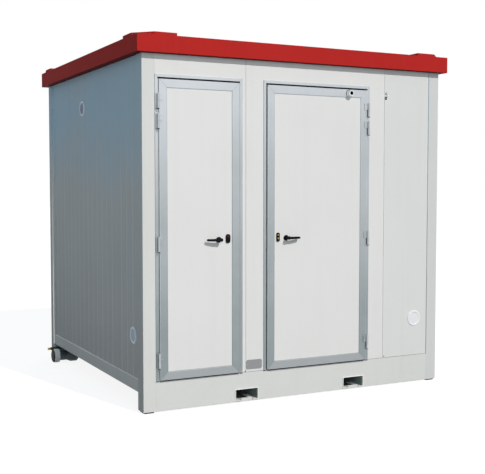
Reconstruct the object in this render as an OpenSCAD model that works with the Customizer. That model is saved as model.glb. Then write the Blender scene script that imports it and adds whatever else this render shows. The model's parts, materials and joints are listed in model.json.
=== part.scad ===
// Portable site cabin: a steel base frame with fork tunnels, sandwich panel walls between corner
// posts, two outward opening aluminium doors, and a flat roof inside a red fascia.
// Sizes are millimetres. The origin is on the ground under the middle of the whole part,
// the front faces -Y and +X is to the right as the front is seen.

/* [Cabin] */
// Width over the corner posts
wall_w = 2400; // [2300:10:2600]
// Depth over the corner posts
wall_d = 2280; // [2000:10:2600]
// Height of the wall tops above the ground
wall_top = 2355; // [2320:5:2500]

/* [Base frame] */
// Height of the base frame's top above the ground
base_top = 212; // [190:1:240]
// Plate thickness of the base beams
beam_plate = 5; // [3:0.5:8]
// Depth of the base beams' flanges
beam_flange = 80; // [75:1:100]
// Height of the side beams, which are open underneath
side_beam_h = 82; // [60:1:90]
// Thickness of the foot plates, which keep the beams off the ground
foot_t = 10; // [6:1:14]
// How far the foot plates lie inside the posts' outline
foot_inset = 10; // [4:1:20]
// Number of floor joists
joist_count = 4; // [2:1:6]
// Width of a floor joist
joist_w = 40; // [30:1:60]
// Thickness of the floor deck
floor_t = 22; // [18:1:28]
// Room left round the posts where the deck is notched
deck_clear = 1; // [0.5:0.5:3]

/* [Fork tunnels] */
// Distance between the centres of the two fork tunnels
fork_spacing = 880; // [700:10:1000]
// Outer width of a tunnel
fork_w = 180; // [150:1:220]
// Outer height of a tunnel
fork_h = 85; // [75:1:90]
// Plate thickness of a tunnel
fork_plate = 5; // [3:0.5:8]
// Width of the lips along a tunnel's open underside
fork_lip = 45; // [30:1:60]
// Height of the tongue between the lips in the end beams
fork_tongue_h = 19; // [10:1:25]
// Room left between the tongue and the lips
fork_tongue_gap = 4; // [2:0.5:8]
// How far a tunnel's ends stand out from the end beams
fork_proud = 5; // [2:0.5:8]

/* [Corner posts] */
// Width of a post seen from the front
post_w = 88; // [70:1:110]
// Depth of a post seen from the side
post_d = 102; // [80:1:120]
// Plate thickness of a post
post_plate = 4; // [3:0.5:6]

/* [Wall panels] */
// Thickness of the sandwich panels
panel_t = 50; // [40:1:60]
// How far the side and rear panels lie behind the posts' faces
panel_inset = 9; // [4:1:14]
// Open gap at a panel joint
joint_gap = 2; // [1:0.5:4]
// Length of the tongue in a panel joint
tongue_l = 12; // [8:1:16]
// Thickness of the tongue in a panel joint
tongue_t = 14; // [10:1:20]
// Room left round the tongue
tongue_clear = 1; // [0.5:0.5:2]
// Width of the middle panel of a side or rear wall
middle_panel = 1200; // [900:10:1250]
// Distance from the front posts to the side walls' first joint
side_first_panel = 450; // [300:10:500]
// Pitch of the shallow ribs on the side and rear panels
rib_pitch = 114; // [80:1:160]
// Width of a rib's groove
rib_w = 12; // [4:0.5:20]
// Depth of a rib's groove
rib_depth = 2.5; // [0.5:0.5:4]
// Width of the wall strip between the left door and the first joint
left_strip = 27; // [20:1:60]
// Width of the wall piers beside the right door
right_pier = 136; // [60:1:160]
// Width of the groove between the front end panel and the right post
post_groove = 6; // [3:0.5:10]
// Depth of the groove between the front end panel and the right post
post_groove_depth = 12; // [6:1:16]

/* [Roof] */
// Height of the fascia
fascia_h = 115; // [90:1:150]
// How far the fascia stands out from the posts
fascia_overhang = 47; // [30:1:80]
// Sheet thickness of the fascia
fascia_sheet = 3; // [2:0.5:4]
// Width of the flange under the roof panel
fascia_foot = 160; // [150:1:200]
// Width of the flange on the roof panel
fascia_cap = 80; // [50:1:120]
// Side of a raised corner plate on the roof
corner_plate = 275; // [240:5:340]
// Leg of the corner plate's cut-off corner
corner_cut = 120; // [80:5:180]
// Thickness of a corner plate
corner_plate_t = 18; // [8:1:24]
// How far a corner plate lies inside the fascia's face
corner_plate_inset = 3; // [1:0.5:10]

/* [Doors] */
// Width of the left door frame over its lips
left_frame_w = 638; // [600:1:645]
// Width of the right door frame over its lips
right_frame_w = 878; // [800:1:940]
// Height of the door frames above the base frame
frame_h = 2013; // [1950:1:2050]
// How far a frame's lip overlaps the wall
frame_lip = 16; // [10:1:20]
// How far a frame's lip stands out from the wall
frame_proud = 4; // [2:0.5:13]
// Thickness of the frame's web beside the leaf
frame_web = 4; // [3:0.5:6]
// Gap between a leaf's side edges and its frame
leaf_gap = 7; // [6:0.5:9]
// Gap over a leaf's upper edge
top_gap = 12; // [6:0.5:14]
// Gap under a leaf's lower edge
bottom_gap = 5; // [5:0.5:10]
// Height of the threshold behind a leaf's lower edge
threshold_h = 28; // [24:1:40]
// Width of the stop behind a leaf
stop_w = 22; // [18:1:30]
// Gap between a leaf's back and the stop
stop_gap = 5; // [5:0.5:8]
// Thickness of a leaf's border
leaf_t = 40; // [35:1:42]
// How far a leaf stands out from the wall
leaf_proud = 14; // [10:1:18]
// Width of a leaf's border
border_w = 57; // [52:1:70]
// Bevel along the border's inner edge
border_bevel = 4; // [2:0.5:5]
// Depth of the infill behind the border's face
infill_recess = 5.5; // [5:0.5:9]
// Thickness of the infill panel
infill_t = 28; // [20:1:29]
// Depth of the groove that holds the infill
infill_seat = 10; // [6:1:16]
// Room left round the infill in its groove
infill_clear = 0.2; // [0.1:0.1:0.5]
// Hairline gap at the mitred corners
mitre_gap = 0.4; // [0.3:0.1:0.8]

/* [Hinges] */
// Height of a hinge
hinge_h = 97; // [80:1:120]
// Radius of a hinge's knuckles
hinge_r = 8; // [7:0.5:10]
// Room left between a knuckle and the leaf's face
hinge_clear = 1; // [0.8:0.1:2]
// Distance of the hinge axis from the leaf's edge
hinge_offset = 9; // [8:0.5:11]
// Gap between the two knuckles of a hinge
knuckle_gap = 1; // [0.5:0.5:2]
// Thickness of the hinge wings
wing_t = 4; // [3:0.5:5]
// Length of the wing on the leaf
leaf_wing = 32; // [20:1:45]
// Thickness of the web that carries the fixed knuckle
hinge_web = 3; // [2:0.5:4]
// Radius of the hinge pin
pin_r = 4; // [3:0.5:5]
// Room left round the hinge pin
pin_clear = 0.2; // [0.1:0.1:0.3]
// Length of the pin in the leaf's knuckle
pin_l = 32; // [20:1:36]
// Distance from the leaf's lower edge to the lowest hinge
hinge_low = 83; // [50:1:120]
// Distance from the leaf's lower edge to the middle hinge
hinge_middle = 851; // [700:1:1000]
// Distance from the leaf's upper edge to the highest hinge
hinge_high = 94; // [60:1:150]
// Pitch of the two upper hinges
hinge_pair = 130; // [110:1:200]

/* [Handles and locks] */
// Height of the lever handles above the ground
handle_z = 1137; // [1000:1:1200]
// Distance from the left leaf's closing edge to its handle
left_backset = 157; // [130:1:190]
// Distance from the right leaf's closing edge to its handle
right_backset = 148; // [130:1:190]
// Radius of the rose under a handle
rose_r = 19; // [16:1:26]
// Thickness of the rose
rose_t = 8; // [5:0.5:12]
// Gap between the rose and the handle's neck
neck_gap = 0.5; // [0.3:0.1:0.9]
// Radius of the handle's neck
neck_r = 9; // [7:0.5:11]
// Radius of the handle's hub
hub_r = 12; // [10:0.5:16]
// Length of a lever from its spindle
lever_l = 98; // [80:1:130]
// How far a lever stands out from its rose
lever_reach = 42.5; // [35:0.5:55]
// Thickness of a lever
lever_t = 12; // [8:0.5:14]
// How far the lever's tip bends back
lever_bend = 15; // [5:1:20]
// Height of the lever at its hub
lever_root_h = 18; // [14:1:24]
// Height of the lever at its tip
lever_tip_h = 15; // [10:1:18]
// Side of the square spindle
spindle = 8; // [6:1:9]
// Radius of the bore round the spindle
spindle_bore = 6.5; // [6.4:0.1:7]
// Height of the lock plates
lock_h = 61; // [50:1:80]
// Width of the left lock plate
left_lock_w = 33; // [26:1:40]
// Width of the right lock plate
right_lock_w = 25; // [20:1:32]
// Thickness of the lock plates
lock_t = 8; // [5:0.5:12]
// Distance from the left leaf's closing edge to its lock plate's middle
left_lock_backset = 88; // [82:1:95]
// Distance from the right leaf's closing edge to its lock plate's middle
right_lock_backset = 83; // [76:1:90]
// How far a lock plate's middle lies above its handle
lock_rise = 6; // [-10:1:20]

/* [Door holder] */
// Angle at which the open right door is held
hold_angle = 170; // [165:1:174]
// Distance from the hinge axis to the socket on the leaf
holder_radius = 166; // [140:1:200]
// Radius of the socket's foot
socket_foot_r = 25; // [23:1:26]
// Radius of the socket's body
socket_r = 22; // [18:1:24]
// Radius of the socket's mouth
mouth_r = 13.5; // [12:0.5:15]
// How far the socket stands out from the leaf
socket_l = 33; // [28:1:38]
// Depth of the socket's mouth
mouth_depth = 24; // [18:1:28]
// Length of the peg on the wall
peg_l = 35; // [30:1:37]
// Radius of the peg's stem
peg_r = 5; // [4:0.5:6]
// Radius of the peg's ball
ball_r = 9; // [7:0.5:10]

/* [Vents] */
// Radius of a vent's flange
vent_r = 59; // [50:1:70]
// How far a vent stands out from the wall
vent_proud = 5; // [4:0.5:10]
// Outer radius of a vent's sleeve in the wall
sleeve_r = 46; // [38:1:48]
// Wall thickness of a vent's sleeve
sleeve_t = 3; // [2:0.5:5]
// Room left round the sleeve in the wall
sleeve_clear = 0.3; // [0.2:0.1:0.6]
// Thickness of a vent's grille
grille_t = 4; // [3:0.5:6]
// Pitch of the grille's slots
slot_pitch = 8; // [6:0.5:16]
// Height of a grille's slot
slot_h = 2; // [1.5:0.5:5]
// Distance of the low vents from the front corners
vent_corner = 210; // [180:1:260]
// Height of the low vents
vent_low_z = 495; // [400:1:700]
// Distance of the high vent from the front
vent_high_y = 1331; // [800:1:1450]
// Height of the high vent
vent_high_z = 2096; // [1900:1:2200]

/* [Water connections] */
// How far the water connections stand out from the left side
outlet_reach = 66; // [50:1:90]
// Distance of the waste pipe from the rear
waste_back = 277; // [240:1:320]
// Height of the waste pipe's axis
waste_z = 58; // [57:1:66]
// Radius of the waste pipe
waste_r = 42; // [36:0.5:44]
// Radius of the waste coupling
coupling_r = 55; // [50:0.5:56]
// Length of the waste coupling
coupling_l = 48; // [36:1:52]
// Radius of the collar on the waste pipe's bend
collar_r = 56; // [50:0.5:57]
// Distance of the collar from the left side
collar_from = 52; // [40:1:60]
// Length of the collar
collar_l = 98; // [80:1:110]
// Length of the collar's cone
collar_cone = 34; // [20:1:40]
// Rounding of the collar's far end
collar_round = 14; // [8:1:16]
// Thickness of the cap on the waste coupling
cap_t = 6; // [4:0.5:6]
// Distance of the waste pipe's rising part from the left side
waste_rise_x = 170; // [145:1:200]
// Radius of the waste pipe's bend, at its middle
waste_bend = 60; // [50:1:64]
// Distance of the water inlet from the rear
water_back = 122; // [118:1:130]
// Height of the water inlet
water_z = 92; // [70:1:100]
// Radius of the water pipe
water_r = 13; // [10:0.5:16]
// Radius of the water nozzle
nozzle_r = 10; // [8:0.5:12]
// Length of the water nozzle
nozzle_l = 24; // [18:1:28]
// Radius of the water pipe's bend, at its middle
water_bend = 30; // [20:1:40]

/* [Hidden] */
$fn = 64;

// Faces of the leaf and the infill, as distances in front of the wall
leaf_back = leaf_t - leaf_proud;
infill_front = leaf_proud - infill_recess;
infill_back = infill_t - infill_front;

// The part's reach in front of the posts and beside them, and the place of the left front corner
handle_reach = infill_front + rose_t + lever_reach;
left_reach = max(outlet_reach, fascia_overhang);
x0 = left_reach - (left_reach + wall_w + fascia_overhang) / 2;
y0 = handle_reach - (handle_reach + wall_d + fascia_overhang) / 2;

// Heights
wall_h = wall_top - base_top;
roof_top = wall_top + fascia_h;
cut_top = base_top + frame_h - frame_lip;

// Doors: frame, leaf and hinge axis, measured from the left front corner
rim_w = frame_lip + frame_web;
leaf_edge = rim_w + leaf_gap;
left_frame_x = post_w;
first_joint = left_frame_x + left_frame_w + left_strip;
right_frame_x = first_joint + right_pier;
second_joint = right_frame_x + right_frame_w + right_pier;
left_leaf_x = left_frame_x + leaf_edge;
right_leaf_x = right_frame_x + leaf_edge;
left_leaf_w = left_frame_w - 2 * leaf_edge;
right_leaf_w = right_frame_w - 2 * leaf_edge;
leaf_z = base_top + bottom_gap;
leaf_h = frame_h - bottom_gap - rim_w - top_gap;
axis_y = -(leaf_proud + hinge_clear + hinge_r);
left_axis_x = left_leaf_x - hinge_offset;
right_axis_x = right_leaf_x + right_leaf_w + hinge_offset;

// Hinges
knuckle_h = (hinge_h - knuckle_gap) / 2;
hinge_top_z = leaf_z + leaf_h - hinge_high - hinge_h;
HINGE_Z = [leaf_z + hinge_low, leaf_z + hinge_middle, hinge_top_z - hinge_pair, hinge_top_z];
pin_room = 2;
wing_margin = 2;

// Handles and locks
left_handle_x = left_leaf_x + left_leaf_w - left_backset;
right_handle_x = right_leaf_x + right_backset;
left_lock_x = left_leaf_x + left_leaf_w - left_lock_backset;
right_lock_x = right_leaf_x + right_lock_backset;
lock_round = 9;
lock_window = [14, 10, 1.5];
hub_t = lever_t + 3;

// Door holder: the peg stands where the socket's mouth comes to rest
holder_z = leaf_z + leaf_h - border_w / 2;
ball_y = ball_r - peg_l - axis_y;
held_depth = (ball_y + holder_radius * sin(hold_angle)) / cos(hold_angle);
peg_x = right_axis_x - (holder_radius * cos(hold_angle) + held_depth * sin(hold_angle));
socket_foot_t = 4;
socket_neck = 3;
socket_lip = 6;
peg_foot_r = 8;
peg_foot_t = 3;

// Overlap of cutters past the faces that they cut
cut = 1;
mitre_reach = fascia_h + panel_t + leaf_t;

// Puts the left front corner of the walls at the origin of its children
module from_corner() translate([x0, y0, 0]) children();

// A bar along +X whose ends are mitred or square. Its profile's first axis runs inwards, its second up.
module mitred_bar(len, depth, mitred_start = true, mitred_end = true) {
    back = mitre_gap / sqrt(2);
    start = mitred_start ? [back, back + depth] : [0, 0];
    end = mitred_end ? [len - back, len - back - depth] : [len, len];
    intersection() {
        rotate([90, 0, 90]) linear_extrude(len) children();
        translate([0, 0, -mitre_reach]) linear_extrude(2 * mitre_reach)
            polygon([[start[0], 0], [end[0], 0], [end[1], depth], [start[1], depth]]);
    }
}

// Four mitred bars round a rectangle
module mitred_ring(w, h, depth) {
    mitred_bar(w, depth) children();
    translate([w, 0, 0]) rotate(90) mitred_bar(h, depth) children();
    translate([w, h, 0]) rotate(180) mitred_bar(w, depth) children();
    translate([0, h, 0]) rotate(270) mitred_bar(h, depth) children();
}

// Two jambs with square feet and a head, mitred where they meet
module mitred_arch(w, h, depth) {
    translate([w, 0, 0]) rotate(90) mitred_bar(h, depth, mitred_start = false) children();
    translate([w, h, 0]) rotate(180) mitred_bar(w, depth) children();
    translate([0, h, 0]) rotate(270) mitred_bar(h, depth, mitred_end = false) children();
}

module rounded_plate(w, h, r) {
    square([w - 2 * r, h], center = true);
    square([w, h - 2 * r], center = true);
    for (sx = [-1, 1], sy = [-1, 1]) translate([sx * (w / 2 - r), sy * (h / 2 - r)]) circle(r);
}

// Base frame

// A beam along the front or the rear, with its web outside and a cut-out for each fork tunnel
module end_beam() {
    len = wall_w - 2 * post_w;
    h = base_top - foot_t;
    tongue_w = fork_w - 2 * (fork_lip + fork_tongue_gap);
    translate([post_w, 0, foot_t]) difference() {
        cube([len, beam_flange, h]);
        translate([-cut, beam_plate, beam_plate]) cube([len + 2 * cut, beam_flange, h - 2 * beam_plate]);
        for (side = [-1, 1]) translate([len / 2 + side * fork_spacing / 2, 0, beam_plate]) difference() {
            translate([-fork_w / 2, -cut, 0]) cube([fork_w, beam_plate + 2 * cut, fork_h]);
            translate([-tongue_w / 2, -2 * cut, -cut])
                cube([tongue_w, beam_plate + 4 * cut, fork_tongue_h + cut]);
        }
    }
}

module front_base_beam() color("gainsboro") from_corner() end_beam();

module rear_base_beam() color("gainsboro") from_corner()
    translate([wall_w, wall_d, 0]) rotate(180) end_beam();

// A channel along the left side, open inwards
module side_beam() {
    len = wall_d - 2 * post_d;
    translate([0, post_d, base_top - side_beam_h]) difference() {
        cube([beam_flange, len, side_beam_h]);
        translate([beam_plate, -cut, beam_plate])
            cube([beam_flange, len + 2 * cut, side_beam_h - 2 * beam_plate]);
    }
}

module side_base_beams() color("gainsboro") from_corner() {
    side_beam();
    translate([wall_w, wall_d, 0]) rotate(180) side_beam();
}

// Channels across the cabin, between the side beams and under the deck
module floor_joists() color("silver") from_corner() {
    len = wall_w - 2 * beam_flange;
    pitch = (wall_d - 2 * beam_flange) / (joist_count + 1);
    for (i = [1 : joist_count])
        translate([beam_flange, beam_flange + i * pitch - joist_w / 2, base_top - side_beam_h])
            difference() {
                cube([len, joist_w, side_beam_h]);
                translate([-cut, beam_plate, beam_plate])
                    cube([len + 2 * cut, joist_w, side_beam_h - 2 * beam_plate]);
            }
}

// Lipped channels that run from end to end and stand a little proud of the end beams
module fork_tunnels() color("gainsboro") from_corner()
    for (side = [-1, 1])
        translate([wall_w / 2 + side * fork_spacing / 2, wall_d + fork_proud, foot_t + beam_plate])
            rotate([90, 0, 0]) linear_extrude(wall_d + 2 * fork_proud) difference() {
                translate([-fork_w / 2, 0]) square([fork_w, fork_h]);
                translate([fork_plate - fork_w / 2, fork_plate])
                    square([fork_w - 2 * fork_plate, fork_h - 2 * fork_plate]);
                translate([fork_lip - fork_w / 2, -cut])
                    square([fork_w - 2 * fork_lip, fork_plate + 2 * cut]);
            }

module at_posts() for (x = [0, wall_w - post_w], y = [0, wall_d - post_d]) translate([x, y, 0]) children();

module foot_plates() color("dimgray") from_corner() at_posts()
    translate([foot_inset, foot_inset, 0]) cube([post_w - 2 * foot_inset, post_d - 2 * foot_inset, foot_t]);

module floor_deck() color("peru") from_corner() {
    side_in = panel_inset + panel_t;
    difference() {
        translate([side_in, panel_t, base_top])
            cube([wall_w - 2 * side_in, wall_d - panel_t - side_in, floor_t]);
        at_posts() translate([-deck_clear, -deck_clear, base_top - cut])
            cube([post_w + 2 * deck_clear, post_d + 2 * deck_clear, floor_t + 2 * cut]);
    }
}

// Corner posts

// A box section that is closed underneath by its base plate
module post(x, y) color("gainsboro") from_corner() translate([x, y, foot_t]) difference() {
    cube([post_w, post_d, wall_top - foot_t]);
    translate([post_plate, post_plate, post_plate])
        cube([post_w - 2 * post_plate, post_d - 2 * post_plate, wall_top - foot_t]);
}

module front_left_post() post(0, 0);
module front_right_post() post(wall_w - post_w, 0);
module rear_left_post() post(0, wall_d - post_d);
module rear_right_post() post(wall_w - post_w, wall_d - post_d);

// Wall panels

// Outline of a panel in plan: length along the first axis, depth behind its outer face along the second
function panel_outline(from, to, ribbed, tongue, groove) =
    let (mid = panel_t / 2,
        half = tongue_t / 2,
        slot = half + tongue_clear,
        slot_end = from + tongue_l - joint_gap + tongue_clear,
        ribs = ribbed ? floor((to - from) / rib_pitch) : 0,
        first = (from + to - (ribs - 1) * rib_pitch) / 2)
    concat([[from, 0]],
        [for (i = [0 : 1 : ribs - 1], step = [-1, 0, 1])
            [first + i * rib_pitch + step * rib_w / 2, step == 0 ? rib_depth : 0]],
        [[to, 0]],
        tongue ? [[to, mid - half], [to + tongue_l, mid - half],
            [to + tongue_l, mid + half], [to, mid + half]] : [],
        [[to, panel_t], [from, panel_t]],
        groove ? [[from, mid + slot], [slot_end, mid + slot],
            [slot_end, mid - slot], [from, mid - slot]] : []);

// Three panels in a row along +X, with their outer face on the X axis
module panel_row(len, first_panel) {
    joints = [first_panel, first_panel + middle_panel];
    half = joint_gap / 2;
    linear_extrude(wall_h) {
        polygon(panel_outline(0, joints[0] - half, true, true, false));
        polygon(panel_outline(joints[0] + half, joints[1] - half, true, true, true));
        polygon(panel_outline(joints[1] + half, len, true, false, true));
    }
}

side_wall_l = wall_d - 2 * post_d;
rear_wall_l = wall_w - 2 * post_w;

module vent_hole() rotate([-90, 0, 0])
    translate([0, 0, -cut]) cylinder(r = sleeve_r + sleeve_clear, h = panel_t + 2 * cut);

module left_wall() color("whitesmoke") from_corner() difference() {
    translate([panel_inset, wall_d - post_d, base_top]) rotate(-90)
        panel_row(side_wall_l, side_wall_l - side_first_panel - middle_panel);
    translate([panel_inset, vent_corner, vent_low_z]) rotate(-90) vent_hole();
    translate([panel_inset, vent_high_y, vent_high_z]) rotate(-90) vent_hole();
}

module right_wall() color("whitesmoke") from_corner()
    translate([wall_w - panel_inset, post_d, base_top]) rotate(90) panel_row(side_wall_l, side_first_panel);

module rear_wall() color("whitesmoke") from_corner()
    translate([wall_w - post_w, wall_d - panel_inset, base_top]) rotate(180)
        panel_row(rear_wall_l, (rear_wall_l - middle_panel) / 2);

// A plain upright slab of the front wall
module front_slab(from, to, low, high, tongue, groove)
    translate([0, 0, low]) linear_extrude(high - low) polygon(panel_outline(from, to, false, tongue, groove));

module front_headers() color("whitesmoke") from_corner() {
    half = joint_gap / 2;
    front_slab(post_w, first_joint - half, cut_top, wall_top, true, false);
    front_slab(first_joint + half, second_joint - half, cut_top, wall_top, true, true);
}

module front_uprights() color("whitesmoke") from_corner() {
    half = joint_gap / 2;
    front_slab(left_frame_x, left_frame_x + frame_lip, base_top, cut_top, false, false);
    front_slab(left_frame_x + left_frame_w - frame_lip, first_joint - half, base_top, cut_top, true, false);
    front_slab(first_joint + half, right_frame_x + frame_lip, base_top, cut_top, false, true);
    front_slab(right_frame_x + right_frame_w - frame_lip, second_joint - half,
        base_top, cut_top, true, false);
}

module front_end_panel() color("whitesmoke") from_corner() difference() {
    front_slab(second_joint + joint_gap / 2, wall_w - post_w, base_top, wall_top, false, true);
    translate([wall_w - vent_corner, 0, vent_low_z]) vent_hole();
    translate([wall_w - post_w - post_groove, -cut, base_top - cut])
        cube([post_groove + cut, post_groove_depth + cut, wall_h + 2 * cut]);
}

// Roof

module roof_panel() color("silver") from_corner() {
    out = fascia_overhang - fascia_sheet;
    translate([-out, -out, wall_top + fascia_sheet])
        cube([wall_w + 2 * out, wall_d + 2 * out, fascia_h - 2 * fascia_sheet]);
}

module roof_fascia() color("firebrick") from_corner()
    translate([-fascia_overhang, -fascia_overhang, wall_top])
        mitred_ring(wall_w + 2 * fascia_overhang, wall_d + 2 * fascia_overhang, fascia_foot)
            difference() {
                square([fascia_foot, fascia_h]);
                translate([fascia_sheet, fascia_sheet]) square([fascia_foot, fascia_h - 2 * fascia_sheet]);
                translate([fascia_cap, fascia_h - fascia_sheet - cut])
                    square([fascia_foot, fascia_sheet + 2 * cut]);
            }

module roof_corner_plates() color("firebrick") from_corner() {
    out = fascia_overhang - corner_plate_inset;
    far_x = wall_w + out;
    far_y = wall_d + out;
    places = [[-out, -out], [far_x, -out], [far_x, far_y], [-out, far_y]];
    for (i = [0 : 3]) translate([places[i].x, places[i].y, roof_top]) rotate(90 * i)
        linear_extrude(corner_plate_t)
            polygon([[corner_cut, 0], [corner_plate, 0], [corner_plate, corner_plate],
                [0, corner_plate], [0, corner_cut]]);
}

// Door frames and leaves

// Two jambs and a head with a lip on the wall and a stop behind the leaf, and a threshold between the stops
module door_frame(x, w) color("lightsteelblue") from_corner() translate([x, 0, base_top]) {
    stop_y = leaf_back + stop_gap;
    reach = rim_w + stop_w;
    rotate([90, 0, 0]) mitred_arch(w, frame_h, reach)
        polygon([[0, 0], [0, frame_proud], [rim_w, frame_proud], [rim_w, -stop_y], [reach, -stop_y],
            [reach, -panel_t], [frame_lip, -panel_t], [frame_lip, 0]]);
    translate([reach + mitre_gap, stop_y, 0])
        cube([w - 2 * (reach + mitre_gap), panel_t - stop_y, threshold_h]);
}

module door_border(x, w) color("lightsteelblue") from_corner() translate([x, 0, leaf_z]) rotate([90, 0, 0])
    mitred_ring(w, leaf_h, border_w)
        polygon([[0, -leaf_back], [0, leaf_proud], [border_w - border_bevel, leaf_proud],
            [border_w, leaf_proud - border_bevel], [border_w, infill_front],
            [border_w - infill_seat, infill_front], [border_w - infill_seat, -infill_back],
            [border_w, -infill_back], [border_w, -leaf_back]]);

module door_panel(x, w, handle_x) color("whitesmoke") from_corner() difference() {
    edge = border_w - infill_seat + infill_clear;
    translate([x + edge, infill_clear - infill_front, leaf_z + edge])
        cube([w - 2 * edge, infill_t - 2 * infill_clear, leaf_h - 2 * edge]);
    translate([handle_x, infill_back + cut, handle_z]) rotate([90, 0, 0])
        cylinder(r = spindle_bore, h = infill_t + 2 * cut);
}

module left_door_frame() door_frame(left_frame_x, left_frame_w);
module right_door_frame() door_frame(right_frame_x, right_frame_w);
module left_door_border() door_border(left_leaf_x, left_leaf_w);
module right_door_border() door_border(right_leaf_x, right_leaf_w);
module left_door_panel() door_panel(left_leaf_x, left_leaf_w, left_handle_x);
module right_door_panel() door_panel(right_leaf_x, right_leaf_w, right_handle_x);

// Hinges, on an axis at the origin with the leaf towards +X and the wall towards +Y

module frame_hinge() {
    rim_y = -axis_y - frame_proud;
    rim_near = leaf_gap - hinge_offset;
    rim_far = leaf_edge - hinge_offset;
    linear_extrude(knuckle_h) {
        circle(hinge_r);
        translate([-rim_near - hinge_web, 0]) square([hinge_web, rim_y]);
        translate([wing_margin - rim_far, rim_y - wing_t]) square([rim_far - rim_near - wing_margin, wing_t]);
    }
    cylinder(r = pin_r, h = knuckle_h + pin_l);
}

module leaf_hinge() difference() {
    linear_extrude(knuckle_h) {
        circle(hinge_r);
        translate([0, hinge_r + hinge_clear - wing_t]) square([leaf_wing, wing_t]);
    }
    translate([0, 0, -cut]) cylinder(r = pin_r + pin_clear, h = pin_l - knuckle_gap + pin_room + cut);
}

module at_hinges(x) from_corner() for (z = HINGE_Z) translate([x, axis_y, z]) children();

module left_frame_hinges() color("silver") at_hinges(left_axis_x) frame_hinge();
module right_frame_hinges() color("silver") at_hinges(right_axis_x) mirror([1, 0, 0]) frame_hinge();
module left_leaf_hinges() color("silver") at_hinges(left_axis_x)
    translate([0, 0, knuckle_h + knuckle_gap]) leaf_hinge();
module right_leaf_hinges() color("silver") at_hinges(right_axis_x)
    translate([0, 0, knuckle_h + knuckle_gap]) mirror([1, 0, 0]) leaf_hinge();

// Handles and locks

module rose() rotate([90, 0, 0]) difference() {
    cylinder(r = rose_r, h = rose_t);
    translate([0, 0, -cut]) cylinder(r = spindle_bore, h = rose_t + 2 * cut);
}

// A lever that points to -X and stands out to -Y from the face of its rose
module lever() {
    tip_x = -lever_l;
    bend_x = -lever_l * 0.4;
    back = lever_t - lever_reach;
    rotate([90, 0, 0]) {
        translate([0, 0, neck_gap]) cylinder(r = neck_r, h = lever_reach - hub_t);
        translate([0, 0, lever_reach - hub_t]) cylinder(r = hub_r, h = hub_t);
    }
    intersection() {
        translate([0, 0, -lever_root_h]) linear_extrude(2 * lever_root_h)
            polygon([[0, -lever_reach], [bend_x, -lever_reach], [tip_x, lever_bend - lever_reach],
                [tip_x, lever_bend + back], [bend_x, back], [0, back]]);
        rotate([90, 0, 0]) linear_extrude(lever_reach) {
            polygon([[0, -lever_root_h / 2], [0, lever_root_h / 2],
                [tip_x + lever_tip_h / 2, lever_tip_h / 2], [tip_x + lever_tip_h / 2, -lever_tip_h / 2]]);
            translate([tip_x + lever_tip_h / 2, 0]) circle(d = lever_tip_h);
        }
    }
}

// Two levers on one spindle, the outer one pointing to -X
module handle_pair() {
    outer = -infill_front - rose_t;
    inner = infill_back + rose_t;
    translate([0, outer, 0]) lever();
    translate([0, inner, 0]) mirror([0, 1, 0]) lever();
    translate([-spindle / 2, outer - neck_gap - cut, -spindle / 2])
        cube([spindle, inner - outer + 2 * (neck_gap + cut), spindle]);
}

module lock_plate(w) rotate([90, 0, 0]) difference() {
    linear_extrude(lock_t) rounded_plate(w, lock_h, lock_round);
    translate([-lock_window.x / 2, lock_h / 4 - lock_window.y / 2, lock_t - lock_window.z])
        cube([lock_window.x, lock_window.y, lock_window.z + cut]);
}

module lock_set(handle_x, lock_x, lock_w) color("dimgray") from_corner() {
    translate([handle_x, infill_clear - infill_front, handle_z]) rose();
    translate([handle_x, infill_back - infill_clear, handle_z]) mirror([0, 1, 0]) rose();
    translate([lock_x, infill_clear - infill_front, handle_z + lock_rise]) lock_plate(lock_w);
}

module left_lock() lock_set(left_handle_x, left_lock_x, left_lock_w);
module right_lock() lock_set(right_handle_x, right_lock_x, right_lock_w);
module left_handle() color("dimgray") from_corner()
    translate([left_handle_x, 0, handle_z]) handle_pair();
module right_handle() color("dimgray") from_corner()
    translate([right_handle_x, 0, handle_z]) mirror([1, 0, 0]) handle_pair();

// Door holder

module holder_socket() color("silver") from_corner()
    translate([right_axis_x - holder_radius, -leaf_proud, holder_z]) rotate([90, 0, 0]) rotate_extrude()
        polygon([[0, 0], [socket_foot_r, 0], [socket_foot_r, socket_foot_t],
            [socket_r, socket_foot_t + socket_neck], [socket_r, socket_l - socket_lip],
            [socket_r - socket_lip / 2, socket_l], [mouth_r, socket_l],
            [mouth_r, socket_l - mouth_depth], [0, socket_l - mouth_depth]]);

module holder_peg() color("silver") from_corner() translate([peg_x, 0, holder_z]) rotate([90, 0, 0]) {
    cylinder(r = peg_foot_r, h = peg_foot_t);
    cylinder(r = peg_r, h = peg_l - ball_r);
    translate([0, 0, peg_l - ball_r]) sphere(ball_r);
}

// Vents, with the wall's face on the XZ plane and the wall towards +Y

module vent() rotate([90, 0, 0]) {
    rim = vent_r - sleeve_r;
    rotate_extrude() {
        polygon([[sleeve_r - sleeve_t, -panel_t], [sleeve_r, -panel_t], [sleeve_r, 0], [vent_r, 0],
            [vent_r, vent_proud / 2], [vent_r - rim / 4, vent_proud], [sleeve_r, vent_proud],
            [sleeve_r - sleeve_t, vent_proud / 2]]);
    }
    difference() {
        grille_r = sleeve_r - sleeve_t / 2;
        slots = floor((grille_r - 2 * sleeve_t - slot_h) / slot_pitch);
        translate([0, 0, vent_proud / 2 - grille_t]) cylinder(r = grille_r, h = grille_t);
        for (i = [-slots : slots]) {
            half = sqrt(pow(grille_r - sleeve_t, 2) - pow(abs(i) * slot_pitch + slot_h / 2, 2)) - sleeve_t;
            translate([-half, i * slot_pitch - slot_h / 2, vent_proud / 2 - grille_t - cut])
                cube([2 * half, slot_h, grille_t + 2 * cut]);
        }
    }
}

module front_vent() color("white") from_corner() translate([wall_w - vent_corner, 0, vent_low_z]) vent();

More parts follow.
